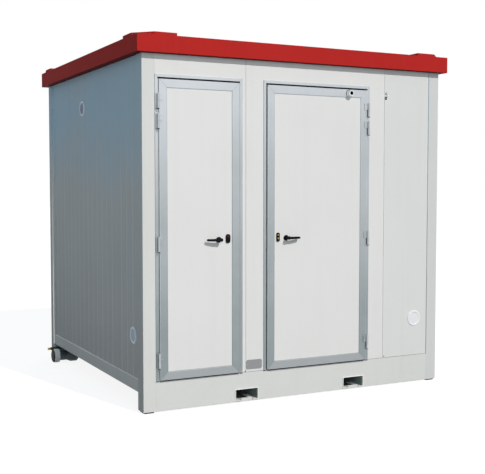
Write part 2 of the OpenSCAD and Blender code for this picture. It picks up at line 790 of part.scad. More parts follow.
module left_vents() color("white") from_corner() {
    translate([panel_inset, vent_corner, vent_low_z]) rotate(-90) vent();
    translate([panel_inset, vent_high_y, vent_high_z]) rotate(-90) vent();
}

// Water connections under the left side, near the rear

// A pipe along +X at the height of the origin that turns up to a given height
module rising_pipe(r, from, rise_x, bend, rise) {
    translate([from, 0, 0]) rotate([0, 90, 0]) cylinder(r = r, h = rise_x - bend - from);
    translate([rise_x - bend, 0, bend]) rotate([90, 0, 0]) rotate(-90)
        rotate_extrude(angle = 90) translate([bend, 0]) circle(r);
    translate([rise_x, 0, bend]) cylinder(r = r, h = rise - bend);
}

waste_y = wall_d - waste_back;
cap_x = cap_t - outlet_reach;

module waste_pipe() color("dimgray") from_corner() translate([0, waste_y, waste_z]) {
    collar_to = collar_from + collar_l;
    rising_pipe(waste_r, cap_x + sleeve_clear, waste_rise_x, waste_bend, base_top - waste_z);
    rotate([0, 90, 0]) rotate_extrude()
        polygon([[0, collar_from], [waste_r, collar_from], [collar_r, collar_from + collar_cone],
            [collar_r, collar_to - collar_round], [collar_r - collar_round, collar_to], [0, collar_to]]);
}

module waste_coupling() color("silver") from_corner()
    translate([cap_x, waste_y, waste_z]) rotate([0, 90, 0]) difference() {
        cylinder(r = coupling_r, h = coupling_l);
        translate([0, 0, -cut]) cylinder(r = waste_r + sleeve_clear, h = coupling_l + 2 * cut);
    }

module waste_cap() color("dimgray") from_corner()
    translate([cap_x - cap_t, waste_y, waste_z]) rotate([0, 90, 0]) rotate_extrude()
        polygon([[0, 0], [coupling_r - cap_t, 0], [coupling_r - cap_t / 2, cap_t], [0, cap_t]]);

water_y = wall_d - water_back;
nozzle_x = nozzle_l - outlet_reach;

module water_pipe() color("slategray") from_corner() translate([0, water_y, water_z])
    rising_pipe(water_r, nozzle_x, beam_flange + water_r + water_bend / 2, water_bend, base_top - water_z);

module water_nozzle() color("goldenrod") from_corner() translate([nozzle_x - nozzle_l, water_y, water_z])
    rotate([0, 90, 0]) cylinder(r = nozzle_r, h = nozzle_l);

front_base_beam();
rear_base_beam();
side_base_beams();
floor_joists();
fork_tunnels();
foot_plates();
floor_deck();
front_left_post();
front_right_post();
rear_left_post();
rear_right_post();
front_headers();
front_uprights();
front_end_panel();
left_wall();
right_wall();
rear_wall();
roof_panel();
roof_fascia();
roof_corner_plates();
left_door_frame();
right_door_frame();
left_frame_hinges();
right_frame_hinges();
holder_peg();
front_vent();
left_vents();
waste_pipe();
waste_coupling();
waste_cap();
water_pipe();
water_nozzle();
left_door_border();
left_door_panel();
left_leaf_hinges();
left_lock();
left_handle();
right_door_border();
right_door_panel();
right_leaf_hinges();
right_lock();
holder_socket();
right_handle();
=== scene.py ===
"""Looks of a portable site cabin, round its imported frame: finishes, small fittings, light and camera."""

from functools import partial
import json
import math

import bpy
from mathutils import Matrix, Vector

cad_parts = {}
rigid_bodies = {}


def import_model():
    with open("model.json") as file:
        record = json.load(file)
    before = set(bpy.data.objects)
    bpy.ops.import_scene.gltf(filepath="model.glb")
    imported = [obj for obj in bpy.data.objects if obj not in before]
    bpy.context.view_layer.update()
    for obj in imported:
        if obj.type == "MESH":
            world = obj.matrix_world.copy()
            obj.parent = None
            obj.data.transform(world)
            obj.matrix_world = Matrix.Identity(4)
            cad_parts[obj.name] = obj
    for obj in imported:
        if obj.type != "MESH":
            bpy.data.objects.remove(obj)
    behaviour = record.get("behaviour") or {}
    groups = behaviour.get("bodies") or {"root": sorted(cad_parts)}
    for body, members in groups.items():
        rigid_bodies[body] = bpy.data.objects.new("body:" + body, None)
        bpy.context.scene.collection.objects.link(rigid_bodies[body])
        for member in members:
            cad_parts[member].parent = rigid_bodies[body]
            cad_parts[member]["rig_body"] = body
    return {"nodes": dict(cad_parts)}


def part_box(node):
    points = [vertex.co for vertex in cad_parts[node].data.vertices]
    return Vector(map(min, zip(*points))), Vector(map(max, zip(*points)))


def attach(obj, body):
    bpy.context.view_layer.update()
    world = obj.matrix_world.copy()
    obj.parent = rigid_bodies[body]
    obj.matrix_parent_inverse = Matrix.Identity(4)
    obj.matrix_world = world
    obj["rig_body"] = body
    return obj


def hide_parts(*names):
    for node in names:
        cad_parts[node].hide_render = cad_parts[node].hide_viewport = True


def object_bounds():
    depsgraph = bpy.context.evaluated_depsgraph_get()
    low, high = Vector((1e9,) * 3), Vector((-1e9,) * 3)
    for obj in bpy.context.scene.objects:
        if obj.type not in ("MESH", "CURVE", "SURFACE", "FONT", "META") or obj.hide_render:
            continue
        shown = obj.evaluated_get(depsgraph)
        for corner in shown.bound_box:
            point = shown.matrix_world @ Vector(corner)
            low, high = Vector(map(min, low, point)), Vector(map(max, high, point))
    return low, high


MM = 0.001

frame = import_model()
cad_low, cad_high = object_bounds()
scene = bpy.context.scene

# Places taken from the frame
cabin_left, cabin_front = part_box("front_left_post")[0].xy
cabin_right, cabin_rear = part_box("rear_right_post")[1].xy
post_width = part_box("front_left_post")[1].x - cabin_left
post_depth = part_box("front_left_post")[1].y - cabin_front
base_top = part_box("front_base_beam")[1].z
wall_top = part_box("front_headers")[1].z
roof_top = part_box("roof_panel")[1].z
cap_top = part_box("roof_fascia")[1].z

# The two doors, each with the side on which it is hung
DOORS = {"left": -1, "right": 1}

# Handling of objects
AXIS_TURN = {"X": (0.0, math.pi / 2, 0.0), "Y": (math.pi / 2, 0.0, 0.0), "Z": (0.0, 0.0, 0.0)}
ALIGNED = 0.99
SAME_POINT = 1e-6


def select_only(*pieces):
    """Leaves these pieces selected, with the first one active."""
    bpy.ops.object.select_all(action="DESELECT")
    for piece in pieces:
        piece.select_set(True)
    bpy.context.view_layer.objects.active = pieces[0]


def settle(piece):
    """Puts a piece's place, turn and scale into its mesh."""
    select_only(piece)
    bpy.ops.object.transform_apply(location=True, rotation=True, scale=True)
    return piece


def apply_modifier(piece, kind, **settings):
    """Adds a modifier with these settings and applies it."""
    select_only(piece)
    modifier = piece.modifiers.new(kind.lower(), kind)
    for name, value in settings.items():
        setattr(modifier, name, value)
    bpy.ops.object.modifier_apply(modifier=modifier.name)
    return piece


def edit(piece, by_face, choose, steps):
    """Runs steps in edit mode on the faces, or else the edges, that are chosen from a piece's mesh."""
    select_only(piece)
    mesh = piece.data
    bpy.context.tool_settings.mesh_select_mode = (False, not by_face, by_face)
    for part in (*mesh.vertices, *mesh.edges, *mesh.polygons):
        part.select = False
    for part in choose(mesh):
        part.select = True
    bpy.ops.object.mode_set(mode="EDIT")
    for step in steps:
        step()
    bpy.ops.object.mode_set(mode="OBJECT")
    return piece


def edit_faces(piece, is_wanted, *steps):
    """Runs steps in edit mode on the faces that are wanted."""
    return edit(piece, True, lambda mesh: filter(is_wanted, mesh.polygons), steps)


def facing(x=0.0, y=0.0, z=0.0):
    """A test for faces that look in this direction."""
    wanted = Vector((x, y, z))
    return lambda face: face.normal.dot(wanted) > ALIGNED


def inset(amount, depth=0.0):
    return lambda: bpy.ops.mesh.inset(thickness=amount, depth=depth)


def extrude(x=0.0, y=0.0, z=0.0):
    return lambda: bpy.ops.mesh.extrude_region_move(TRANSFORM_OT_translate={"value": (x, y, z)})


def fatten(amount):
    return lambda: bpy.ops.mesh.extrude_region_shrink_fatten(TRANSFORM_OT_shrink_fatten={"value": amount})


def delete_faces():
    bpy.ops.mesh.delete(type="FACE")


def face_outwards():
    bpy.ops.mesh.select_all(action="SELECT")
    bpy.ops.mesh.remove_doubles(threshold=SAME_POINT)
    bpy.ops.mesh.normals_make_consistent(inside=False)


def round_corners(plate, radius, segments):
    """Rounds the corners of a plate that faces the front, or cuts them off where there is one segment."""
    def corner_edges(mesh):
        for edge in mesh.edges:
            start, end = (mesh.vertices[index].co for index in edge.vertices)
            if abs((end - start).normalized().y) > ALIGNED:
                yield edge
    return edit(plate, False, corner_edges, [lambda: bpy.ops.mesh.bevel(offset=radius, segments=segments)])


def soften(piece, width, segments=2, angle=35.0):
    """Rounds a piece's edges and gives its flat faces even shading."""
    apply_modifier(piece, "BEVEL", width=width, segments=segments, limit_method="ANGLE",
                   angle_limit=math.radians(angle))
    select_only(piece)
    bpy.ops.object.shade_smooth_by_angle(angle=math.radians(angle))
    return apply_modifier(piece, "WEIGHTED_NORMAL", keep_sharp=True)


def named(name):
    """Names the primitive that was just added and settles it."""
    piece = bpy.context.object
    piece.name = name
    return settle(piece)


def new_block(name, corner, far_corner):
    """A block between two opposite corners."""
    bpy.ops.object.select_all(action="DESELECT")
    corner, far_corner = Vector(corner), Vector(far_corner)
    size = [abs(length) for length in far_corner - corner]
    bpy.ops.mesh.primitive_cube_add(size=1.0, location=(corner + far_corner) / 2, scale=size)
    return named(name)


def soft_block(name, edge, corner, far_corner):
    """A block between two opposite corners, with its edges rounded."""
    return soften(new_block(name, corner, far_corner), edge)


def new_rod(name, radius, length, place, axis, sides=24):
    """A round bar with its middle at a place, along X, Y or Z."""
    bpy.ops.object.select_all(action="DESELECT")
    bpy.ops.mesh.primitive_cylinder_add(vertices=sides, radius=radius, depth=length, location=place,
                                        rotation=AXIS_TURN[axis])
    return named(name)


def new_ring(name, radius, wire, place, axis, flat=1.0):
    """A smooth bead on a circle about X, Y or Z, stretched or flattened along that axis."""
    bpy.ops.object.select_all(action="DESELECT")
    bpy.ops.mesh.primitive_torus_add(major_radius=radius, minor_radius=wire, major_segments=32,
                                     minor_segments=8, location=place, rotation=AXIS_TURN[axis])
    bpy.context.object.scale.z = flat
    piece = apply_modifier(named(name), "SUBSURF", levels=1, render_levels=1)
    bpy.ops.object.shade_smooth()
    return piece


def new_ring_plate(name, low, high, width):
    """A flat rectangular ring that faces the front, between two corners, with its bars this wide."""
    piece = new_block(name, low, high)
    edit_faces(piece, facing(y=-1), inset(width), delete_faces)
    edit_faces(piece, facing(y=1), inset(width), delete_faces)
    steps = (bpy.ops.mesh.select_non_manifold, bpy.ops.mesh.bridge_edge_loops, face_outwards)
    return edit(piece, False, lambda mesh: (), steps)


def joined(name, parts):
    """Makes one piece of several."""
    select_only(*parts)
    if len(parts) > 1:
        bpy.ops.object.join()
    return named(name)


def copies(name, model, places):
    """Copies a model to each place, makes one piece of the copies and drops the model."""
    parts = []
    for place in places:
        part = model.copy()
        part.data = model.data.copy()
        part.location = place
        scene.collection.objects.link(part)
        parts.append(part)
    bpy.data.objects.remove(model)
    return joined(name, parts)


# Shares of a screw head's radius or height
SKIRT_H = 0.6
DOME_IN = 0.35
DOME_H = 0.4
DRIVE_IN = 0.25
DRIVE_DEPTH = 0.5


def screw_head(radius, height, towards):
    """A domed head with a round drive recess, seated at the origin and looking one way."""
    head = new_rod("screw", radius, height * SKIRT_H, (0.0, 0.0, height * SKIRT_H / 2), "Z", sides=12)
    edit_faces(head, facing(z=1), inset(radius * DOME_IN, height * DOME_H), inset(radius * DRIVE_IN),
               extrude(z=-height * DRIVE_DEPTH))
    head.rotation_mode = "QUATERNION"
    head.rotation_quaternion = Vector((0.0, 0.0, 1.0)).rotation_difference(Vector(towards))
    settle(head)
    bpy.ops.object.shade_smooth_by_angle(angle=math.radians(40))
    return head


def fit_out(piece, material, body):
    """Gives a new piece its finish and its body."""
    piece.data.materials.clear()
    piece.data.materials.append(material)
    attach(piece, body)
    return piece


# Shader nodes

def put(socket, value):
    """Links a socket to another one, or sets its plain value."""
    if isinstance(value, bpy.types.NodeSocket):
        socket.id_data.links.new(value, socket)
    else:
        socket.default_value = value


def feed(node, **inputs):
    """Links or sets a node's named inputs."""
    for name, value in inputs.items():
        put(node.inputs[name.replace("_", " ")], value)
    return node


def new_node(near, kind):
    """A new node in the tree that holds a node or a socket."""
    return near.id_data.nodes.new(kind)


def add_node(near, kind, **inputs):
    return feed(new_node(near, kind), **inputs)


def object_place(near):
    return new_node(near, "ShaderNodeTexCoord").outputs["Object"]


def axes(place):
    return add_node(place, "ShaderNodeSeparateXYZ", Vector=place).outputs


def math_node(operation, first, second=0.0, clamp=False):
    """The result of an operation on two values, of which one at least is a socket."""
    node = new_node(first if isinstance(first, bpy.types.NodeSocket) else second, "ShaderNodeMath")
    node.operation = operation
    node.use_clamp = clamp
    put(node.inputs[0], first)
    put(node.inputs[1], second)
    return node.outputs[0]


plus = partial(math_node, "ADD")
minus = partial(math_node, "SUBTRACT")
times = partial(math_node, "MULTIPLY")
below = partial(math_node, "LESS_THAN")


def from_ends(value, low, high):
    """How far a value is from the nearer of two ends."""
    return math_node("MINIMUM", minus(value, low), minus(high, value))


def from_middle(value, middle):
    """How far a value is from a middle, either way."""
    return math_node("ABSOLUTE", minus(value, middle))


def ranged(value, from_low, from_high, to_low=0.0, to_high=1.0):
    node = add_node(value, "ShaderNodeMapRange", Value=value, From_Min=from_low, From_Max=from_high,
                    To_Min=to_low, To_Max=to_high)
    return node.outputs["Result"]


def noise(place, scale, detail=4.0, roughness=0.55):
    return add_node(place, "ShaderNodeTexNoise", Vector=place, Scale=scale, Detail=detail,
                    Roughness=roughness).outputs["Fac"]


def stretched(place, x, y, z):
    return add_node(place, "ShaderNodeMapping", Vector=place, Scale=(x, y, z)).outputs["Vector"]


def colour_mix(factor, first, second):
    """A colour that goes from the first to the second as the factor goes from 0 to 1."""
    node = new_node(factor, "ShaderNodeMix")
    node.data_type = "RGBA"
    for index, value in ((0, factor), (6, first), (7, second)):
        put(node.inputs[index], value)
    return node.outputs[2]


def spangle(place):
    """The flakes of a zinc coat, as a value that differs from flake to flake."""
    flakes = add_node(place, "ShaderNodeTexVoronoi", Vector=place, Scale=70.0)
    return add_node(place, "ShaderNodeSeparateColor", Color=flakes.outputs["Color"]).outputs["Red"]


def srgb(red, green, blue):
    """A colour that is written as it shows, from 0 to 255."""
    def linear(level):
        level = level / 255
        return level / 12.92 if level <= 0.04045 else ((level + 0.055) / 1.055) ** 2.4
    return (linear(red), linear(green), linear(blue), 1.0)


def new_group(name, inputs, outputs):
    """A shader group with named sockets: colours where the value is a tuple, and numbers where it isn't."""
    tree = bpy.data.node_groups.new(name, "ShaderNodeTree")
    for in_out, sockets in (("INPUT", inputs), ("OUTPUT", outputs)):
        for socket_name, value in sockets.items():
            kind = "NodeSocketColor" if isinstance(value, tuple) else "NodeSocketFloat"
            tree.interface.new_socket(socket_name, in_out=in_out, socket_type=kind).default_value = value
    return tree, tree.nodes.new("NodeGroupInput").outputs, tree.nodes.new("NodeGroupOutput")


def make_weather_group():
    """Outdoor wear: faint clouding, rain streaks that run down, and splash dirt near the ground."""
    grey = (0.8, 0.8, 0.8, 1.0)
    tree, given, out = new_group(
        "weather", {"Colour": grey, "Dirt Colour": (0.2, 0.18, 0.15, 1.0), "Clouding": 0.05, "Streaks": 0.1,
                    "Splash": 0.2, "Splash Height": 0.5}, {"Colour": grey, "Dirt": 0.0})
    place = object_place(out)
    cloud_gain = times(ranged(noise(place, 1.9, 6.0), 0.3, 0.7, -1.0, 1.0), given["Clouding"])
    clouded = add_node(out, "ShaderNodeHueSaturation", Color=given["Colour"],
                       Value=plus(cloud_gain, 1.0)).outputs["Color"]
    runs = noise(stretched(place, 14.0, 14.0, 0.55), 1.0, 5.0, 0.6)
    run_mask = times(ranged(runs, 0.52, 0.78), given["Streaks"])
    grit = ranged(noise(place, 26.0, 8.0, 0.7), 0.35, 0.75, 0.25, 1.0)
    rise = math_node("DIVIDE", axes(place)["Z"], given["Splash Height"])
    fall = math_node("POWER", minus(1.0, rise, clamp=True), 1.6)
    splash = times(times(fall, grit), given["Splash"])
    dirt = plus(run_mask, splash, clamp=True)
    feed(out, Colour=colour_mix(dirt, clouded, given["Dirt Colour"]), Dirt=dirt)
    return tree


SKIN_WAVES = 0.4


def make_skin_group():
    """The fine skin of sprayed or moulded surfaces over broad waves, as a height."""
    tree, given, out = new_group("fine_skin", {"Scale": 300.0}, {"Height": 0.0})
    place = object_place(out)
    broad = times(noise(place, 5.0, 2.0), SKIN_WAVES)
    feed(out, Height=plus(noise(place, given["Scale"], 2.0), broad))
    return tree


weather = make_weather_group()
fine_skin = make_skin_group()


def use_group(near, group, **inputs):
    node = new_node(near, "ShaderNodeGroup")
    node.node_tree = group
    return feed(node, **inputs).outputs


def add_wear(shader, colour, **amounts):
    """Puts a colour on a surface under outdoor wear, and gives the mask of the dirt."""
    worn = use_group(shader, weather, Colour=colour, **amounts)
    feed(shader, Base_Color=worn["Colour"])
    return worn["Dirt"]


def add_relief(shader, height, strength, distance=0.01):
    bump = add_node(shader, "ShaderNodeBump", Strength=strength, Distance=distance, Height=height)
    feed(shader, Normal=bump.outputs["Normal"])


def add_skin(shader, scale, strength):
    add_relief(shader, use_group(shader, fine_skin, Scale=scale)["Height"], strength)


# Finishes
EARTH = (0.16, 0.14, 0.115, 1.0)
# Pale dust, which near the ground also paints shade on the side walls
PALE_DUST_AND_SHADE = (0.4, 0.38, 0.35, 1.0)
FASCIA_DIRT = (0.3, 0.09, 0.08, 1.0)
SCREEN_DUST = (0.3, 0.29, 0.27, 1.0)
CEILING_WHITE = srgb(226, 227, 226)
# Whiter than the beam's paint: a painted highlight on the tunnel rims
TUNNEL_WHITE = srgb(250, 250, 248)
FASCIA_RED = srgb(182, 42, 39)
FASCIA_UNDERSIDE_SHADE = srgb(84, 14, 12)
DIRT_DULLING = 0.3
FADE_FOOT = 0.4
FADE_TOP = 2.1
# Bar tones: painted shade towards the foot and a painted highlight on the lower rail
BAR_TONE = srgb(181, 187, 192)
BAR_FOOT_SHADE = srgb(137, 146, 149)
BAR_RAIL_HIGHLIGHT = srgb(156, 161, 164)
BAR_ROUGHNESS = 0.42
FOOT_RAIL_H = 0.3
# Side-face tones: a painted highlight on the leaves, painted shade on the frames
EDGE_HIGHLIGHT = srgb(236, 241, 244)
EDGE_SHADE = srgb(142, 152, 155)
EDGE_DEPTH = 0.9 * MM
LIP_T = 6 * MM
LIP_PAINT = 150 * MM
END_PAINT = 3 * MM
PAINT_RAG = 4 * MM
PAINT_FADE = 7 * MM
CEILING_T = 10 * MM
UNDERSIDE_T = 1 * MM
TONE_STEP = 2 * MM


def new_material(name, roughness, metallic=0.0, specular=0.5):
    """A material with its Principled shader's plain values set."""
    material = bpy.data.materials.new(name)
    material.use_nodes = True
    shader = material.node_tree.nodes["Principled BSDF"]
    feed(shader, Roughness=roughness, Metallic=metallic, Specular_IOR_Level=specular)
    return material, shader


def weathered(name, colour, roughness, dirt_colour=EARTH, clouding=0.03, streaks=0.05, splash=0.1,
              splash_height=0.6, skin=300.0, bump=0.02, metallic=0.0, specular=0.5):
    """A surface with a plain colour, outdoor wear and a fine skin."""
    material, shader = new_material(name, roughness, metallic, specular)
    dirt = add_wear(shader, colour, Dirt_Colour=dirt_colour, Clouding=clouding, Streaks=streaks,
                    Splash=splash, Splash_Height=splash_height)
    dulled = times(dirt, DIRT_DULLING)
    feed(shader, Roughness=plus(dulled, roughness, clamp=True))
    add_skin(shader, skin, bump)
    return material


def make_aluminium(name, edge_tone, node):
    """Anodised bars round a rectangle, mitred at its corners, with fine lines from the die along each bar.
    The upright bars darken towards the ground as painted shade, the lower rail is lighter than they are as a
    painted highlight, and the narrow side faces take a tone of their own: a painted highlight on the leaves and
    painted shade on the frames."""
    material, shader = new_material(name, BAR_ROUGHNESS, metallic=0.75, specular=0.4)
    low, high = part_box(node)
    place = object_place(shader)
    along = axes(place)
    from_side = from_ends(along["X"], low.x, high.x)
    from_foot = minus(along["Z"], low.z)
    is_rail = math_node("GREATER_THAN", from_side, from_ends(along["Z"], low.z, high.z))
    is_foot = times(is_rail, below(from_foot, FOOT_RAIL_H))
    cloud = ranged(noise(place, 3.0, 5.0), 0.3, 0.7, -0.12, 0.12)
    fade = plus(ranged(along["Z"], FADE_FOOT, FADE_TOP, 1.0, 0.0), cloud, clamp=True)
    bar = colour_mix(is_foot, colour_mix(fade, BAR_TONE, BAR_FOOT_SHADE), BAR_RAIL_HIGHLIGHT)
    is_edge = below(math_node("ABSOLUTE", from_side), EDGE_DEPTH)
    add_wear(shader, colour_mix(is_edge, bar, edge_tone), Clouding=0.04, Streaks=0.04, Splash=0.08,
             Splash_Height=0.5)
    up_lines = noise(stretched(place, 700.0, 700.0, 6.0), 1.0, 2.0)
    rail_lines = noise(stretched(place, 6.0, 700.0, 700.0), 1.0, 2.0)
    lines = colour_mix(is_rail, up_lines, rail_lines)
    feed(shader, Roughness=ranged(lines, 0.2, 0.8, BAR_ROUGHNESS - 0.06, BAR_ROUGHNESS + 0.1))
    add_relief(shader, lines, 0.03, 0.002)
    return material


def make_floor_board():
    """Coated birch board with a pressed wire pattern."""
    material, shader = new_material("floor_board", 0.5)
    place = object_place(shader)
    grain = ranged(noise(stretched(place, 3.0, 60.0, 3.0), 1.0, 6.0), 0.3, 0.7)
    body = colour_mix(grain, (0.085, 0.055, 0.035, 1.0), (0.15, 0.1, 0.065, 1.0))
    add_wear(shader, body, Clouding=0.12, Streaks=0.0, Splash=0.35, Splash_Height=0.5)
    wires = add_node(place, "ShaderNodeTexBrick", Vector=place, Scale=110.0, Mortar_Size=0.06, Bias=0.0)
    add_relief(shader, wires.outputs["Fac"], 0.25, 0.001)
    return material


def make_zinc(name, tone, roughness):
    """Galvanised sheet with its spangle."""
    material, shader = new_material(name, roughness, metallic=0.55)
    flake = spangle(object_place(shader))
    dark = tuple(0.8 * level for level in tone[:3]) + (1.0,)
    body = colour_mix(ranged(flake, 0.0, 1.0, 0.0, 0.7), tone, dark)
    add_wear(shader, body, Clouding=0.08, Streaks=0.05, Splash=0.3, Splash_Height=0.3)
    feed(shader, Roughness=ranged(flake, 0.0, 1.0, roughness - 0.1, roughness + 0.15))
    return material


def make_side_sheet(name, low, middle, high, gloss, metallic=0.0):
    """Sheet in three tones from the foot up, which paint light and shade on the walls that the key doesn't
    reach: the darker foot is painted shade near the ground and the blue top is a painted sky reflection. The
    pale splash near the ground is partly dust and partly painted shade.
    """
    material, shader = new_material(name, 0.6, metallic, gloss)
    place = object_place(shader)
    cloud = ranged(noise(place, 1.4, 4.0), 0.3, 0.7, -0.1, 0.1)
    rise = ranged(axes(place)["Z"], FADE_FOOT, FADE_TOP)
    from_foot = plus(rise, cloud, clamp=True)
    lower = colour_mix(ranged(from_foot, 0.0, 0.6), low, middle)
    body = colour_mix(ranged(from_foot, 0.6, 1.0), lower, high)
    # Splash near the ground: partly dust, partly painted shade
    add_wear(shader, body, Dirt_Colour=PALE_DUST_AND_SHADE, Clouding=0.02, Streaks=0.06, Splash=0.35,
             Splash_Height=1.2)
    add_skin(shader, 160.0, 0.012)
    return material


def make_tunnel_paint():
    """White paint on the ends of the fork tunnels and along their lips, brighter than the beam's as a painted
    highlight on the rims, and dark teal steel further in whose darkness paints the shade deep in the tunnels.
    """
    material, shader = new_material("tunnel_paint", 0.55, specular=0.2)
    place = object_place(shader)
    along = axes(place)
    rag = ranged(noise(place, 60.0, 4.0), 0.3, 0.7, -PAINT_RAG, PAINT_RAG)
    ragged = plus(from_ends(along["Y"], cabin_front, cabin_rear), rag)
    on_lip = below(along["Z"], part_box("fork_tunnels")[0].z + LIP_T)
    painted = ranged(on_lip, 0.0, 1.0, END_PAINT, LIP_PAINT)
    bare = ranged(minus(ragged, painted), 0.0, PAINT_FADE)
    # Dark teal steel: painted shade inside the tunnels
    steel = colour_mix(noise(place, 18.0, 6.0), (0.14, 0.19, 0.19, 1.0), (0.26, 0.34, 0.34, 1.0))
    add_wear(shader, colour_mix(bare, TUNNEL_WHITE, steel), Clouding=0.05, Streaks=0.05, Splash=0.15,
             Splash_Height=0.3)
    feed(shader, Roughness=ranged(bare, 0.0, 1.0, 0.45, 0.8))
    return material


def make_roof_panel():
    """Galvanised sheet above, and the white coated sheet of a ceiling below."""
    material, shader = new_material("roof_panel_sheets", 0.45, specular=0.3)
    place = object_place(shader)
    above = ranged(axes(place)["Z"], wall_top + CEILING_T, wall_top + CEILING_T + TONE_STEP)
    zinc = colour_mix(spangle(place), (0.5, 0.52, 0.54, 1.0), (0.62, 0.64, 0.66, 1.0))
    add_wear(shader, colour_mix(above, CEILING_WHITE, zinc), Clouding=0.08, Streaks=0.05, Splash=0.0)
    feed(shader, Metallic=times(above, 0.55))
    return material


def make_fascia_paint():
    """Red paint with rain marks, and dark red on the fascia's underside as painted shade."""
    material, shader = new_material("fascia_paint", 0.6, specular=0.04)
    height = axes(object_place(shader))["Z"]
    # Painted shade: the fascia's underside darker
    under = ranged(height, wall_top + UNDERSIDE_T, wall_top + UNDERSIDE_T + TONE_STEP, 1.0, 0.0)
    add_wear(shader, colour_mix(under, FASCIA_RED, FASCIA_UNDERSIDE_SHADE), Dirt_Colour=FASCIA_DIRT,
             Clouding=0.04, Streaks=0.1, Splash=0.0)
    add_skin(shader, 300.0, 0.02)
    return material


def make_fly_screen(name, thread, hole, dust):
    """A woven screen, seen as threads and holes under a little dust."""
    material, shader = new_material(name, 0.7, specular=0.2)
    place = object_place(shader)
    weave = add_node(place, "ShaderNodeTexChecker", Vector=place, Scale=900.0)
    body = colour_mix(weave.outputs["Fac"], thread, hole)
    dusty = ranged(noise(place, 40.0), 0.4, 0.7, 0.0, dust)
    feed(shader, Base_Color=colour_mix(dusty, body, SCREEN_DUST))
    return material


SHEET = {"roughness": 0.55, "clouding": 0.012, "streaks": 0.03, "splash": 0.05, "splash_height": 0.9,
         "skin": 160.0, "bump": 0.012, "specular": 0.15}
PAINT = {"roughness": 0.5, "clouding": 0.015, "streaks": 0.04, "splash": 0.05, "splash_height": 0.5,
         "bump": 0.03, "specular": 0.15}
PLASTIC = {"clouding": 0.015, "streaks": 0.04, "splash": 0.05, "skin": 500.0}
wall_sheet = weathered("wall_sheet", srgb(226, 227, 226), **SHEET)
# Painted shade: the front end panel darker than the rest of the front, where the light falls off to the right
end_shade_sheet = weathered("end_shade_sheet", srgb(221, 223, 222), **SHEET)
# Side walls and posts: painted shade at the foot and a painted blue sky reflection at the top
side_sheet = make_side_sheet("side_sheet", srgb(214, 215, 213), srgb(226, 229, 229), srgb(205, 233, 249), 0.1)
# Grooves: paler tones are a painted highlight, with the walls' painted sky tint at the top
rib_highlight_sheet = make_side_sheet("rib_highlight_sheet", srgb(238, 239, 237), srgb(242, 244, 244), srgb(211, 236, 250), 0.2)
# Rear post strips: bright at the foot and dark blue above, painted light and sky reflection
strip_light_sheet = make_side_sheet("strip_light_sheet", srgb(200, 205, 199), srgb(146, 153, 152), srgb(108, 128, 141),
                              0.3, metallic=0.9)
frame_paint = weathered("frame_paint", srgb(217, 219, 217), **PAINT)
# Painted shade: the front right post darker where the light falls off to the right
end_shade_paint = weathered("end_shade_paint", srgb(211, 214, 213), **PAINT)
fascia_paint = make_fascia_paint()
drip_metal = weathered("drip_metal", srgb(196, 199, 200), 0.35, clouding=0.08, streaks=0.1, splash=0.05,
                       metallic=0.6)
# Leaves' side faces with a painted highlight, frames' side faces with painted shade
LEAF_BARS = {side: make_aluminium(side + "_leaf_bars", EDGE_HIGHLIGHT, side + "_door_border") for side in DOORS}
FRAME_BARS = {side: make_aluminium(side + "_frame_bars", EDGE_SHADE, side + "_door_frame") for side in DOORS}
hinge_metal = weathered("hinge_metal", srgb(182, 189, 193), 0.4, clouding=0.05, streaks=0.04, splash=0.05,
                        skin=400.0, metallic=0.4)
chrome = weathered("chrome", (0.82, 0.83, 0.84, 1.0), 0.12, streaks=0.0, splash=0.0, skin=90.0, bump=0.01,
                   metallic=1.0)
white_plastic = weathered("white_plastic", srgb(238, 239, 241), 0.4, specular=0.25, **PLASTIC)
# Left vents a bluer copy of the front vent's white plastic: a painted sky reflection on the shaded side
sky_tinted_plastic = weathered("sky_tinted_plastic", srgb(224, 238, 255), 0.22, **PLASTIC)
black_plastic = weathered("black_plastic", (0.004, 0.005, 0.0055, 1.0), 0.5,
                          dirt_colour=(0.06, 0.057, 0.052, 1.0), clouding=0.15, streaks=0.02, splash=0.15,
                          splash_height=0.3, skin=900.0, bump=0.05, specular=0.08)
rubber = weathered("rubber", (0.008, 0.009, 0.009, 1.0), 0.75, clouding=0.1, streaks=0.0, splash=0.05,
                   skin=700.0, specular=0.08)
waste_plastic = weathered("waste_plastic", srgb(58, 74, 80), 0.5, clouding=0.05)
# Near white: partly the ring's pale colour, partly a painted reflection that keeps it bright in the shade
coupling_grey = weathered("coupling_grey", srgb(246, 250, 250), 0.45, streaks=0.04, splash=0.05,
                          splash_height=0.25, skin=400.0)
pipe_grey = weathered("pipe_grey", (0.05, 0.055, 0.062, 1.0), 0.5, clouding=0.1, splash=0.25,
                      splash_height=0.3, specular=0.25)
foot_steel = weathered("foot_steel", (0.05, 0.047, 0.045, 1.0), 0.7, clouding=0.3, splash=0.4,
                       splash_height=0.1, skin=120.0, bump=0.1, specular=0.2)
brass = weathered("brass", (0.52, 0.37, 0.13, 1.0), 0.3, clouding=0.12, streaks=0.0, splash=0.2,
                  splash_height=0.2, metallic=1.0)
plate_grey = weathered("plate_grey", srgb(143, 145, 147), 0.42, clouding=0.05, streaks=0.08, skin=500.0,
                       metallic=0.35)
screw_steel = weathered("screw_steel", (0.42, 0.43, 0.45, 1.0), 0.35, clouding=0.1, metallic=0.9)
signal_red = weathered("signal_red", srgb(124, 22, 24), 0.4, clouding=0.05, streaks=0.0, splash=0.0,
                       specular=0.2)
zinc_steel = make_zinc("zinc_steel", (0.44, 0.46, 0.48, 1.0), 0.42)
roof_sheet = make_zinc("roof_sheet", (0.6, 0.62, 0.64, 1.0), 0.45)
roof_panel_sheets = make_roof_panel()
tunnel_paint = make_tunnel_paint()
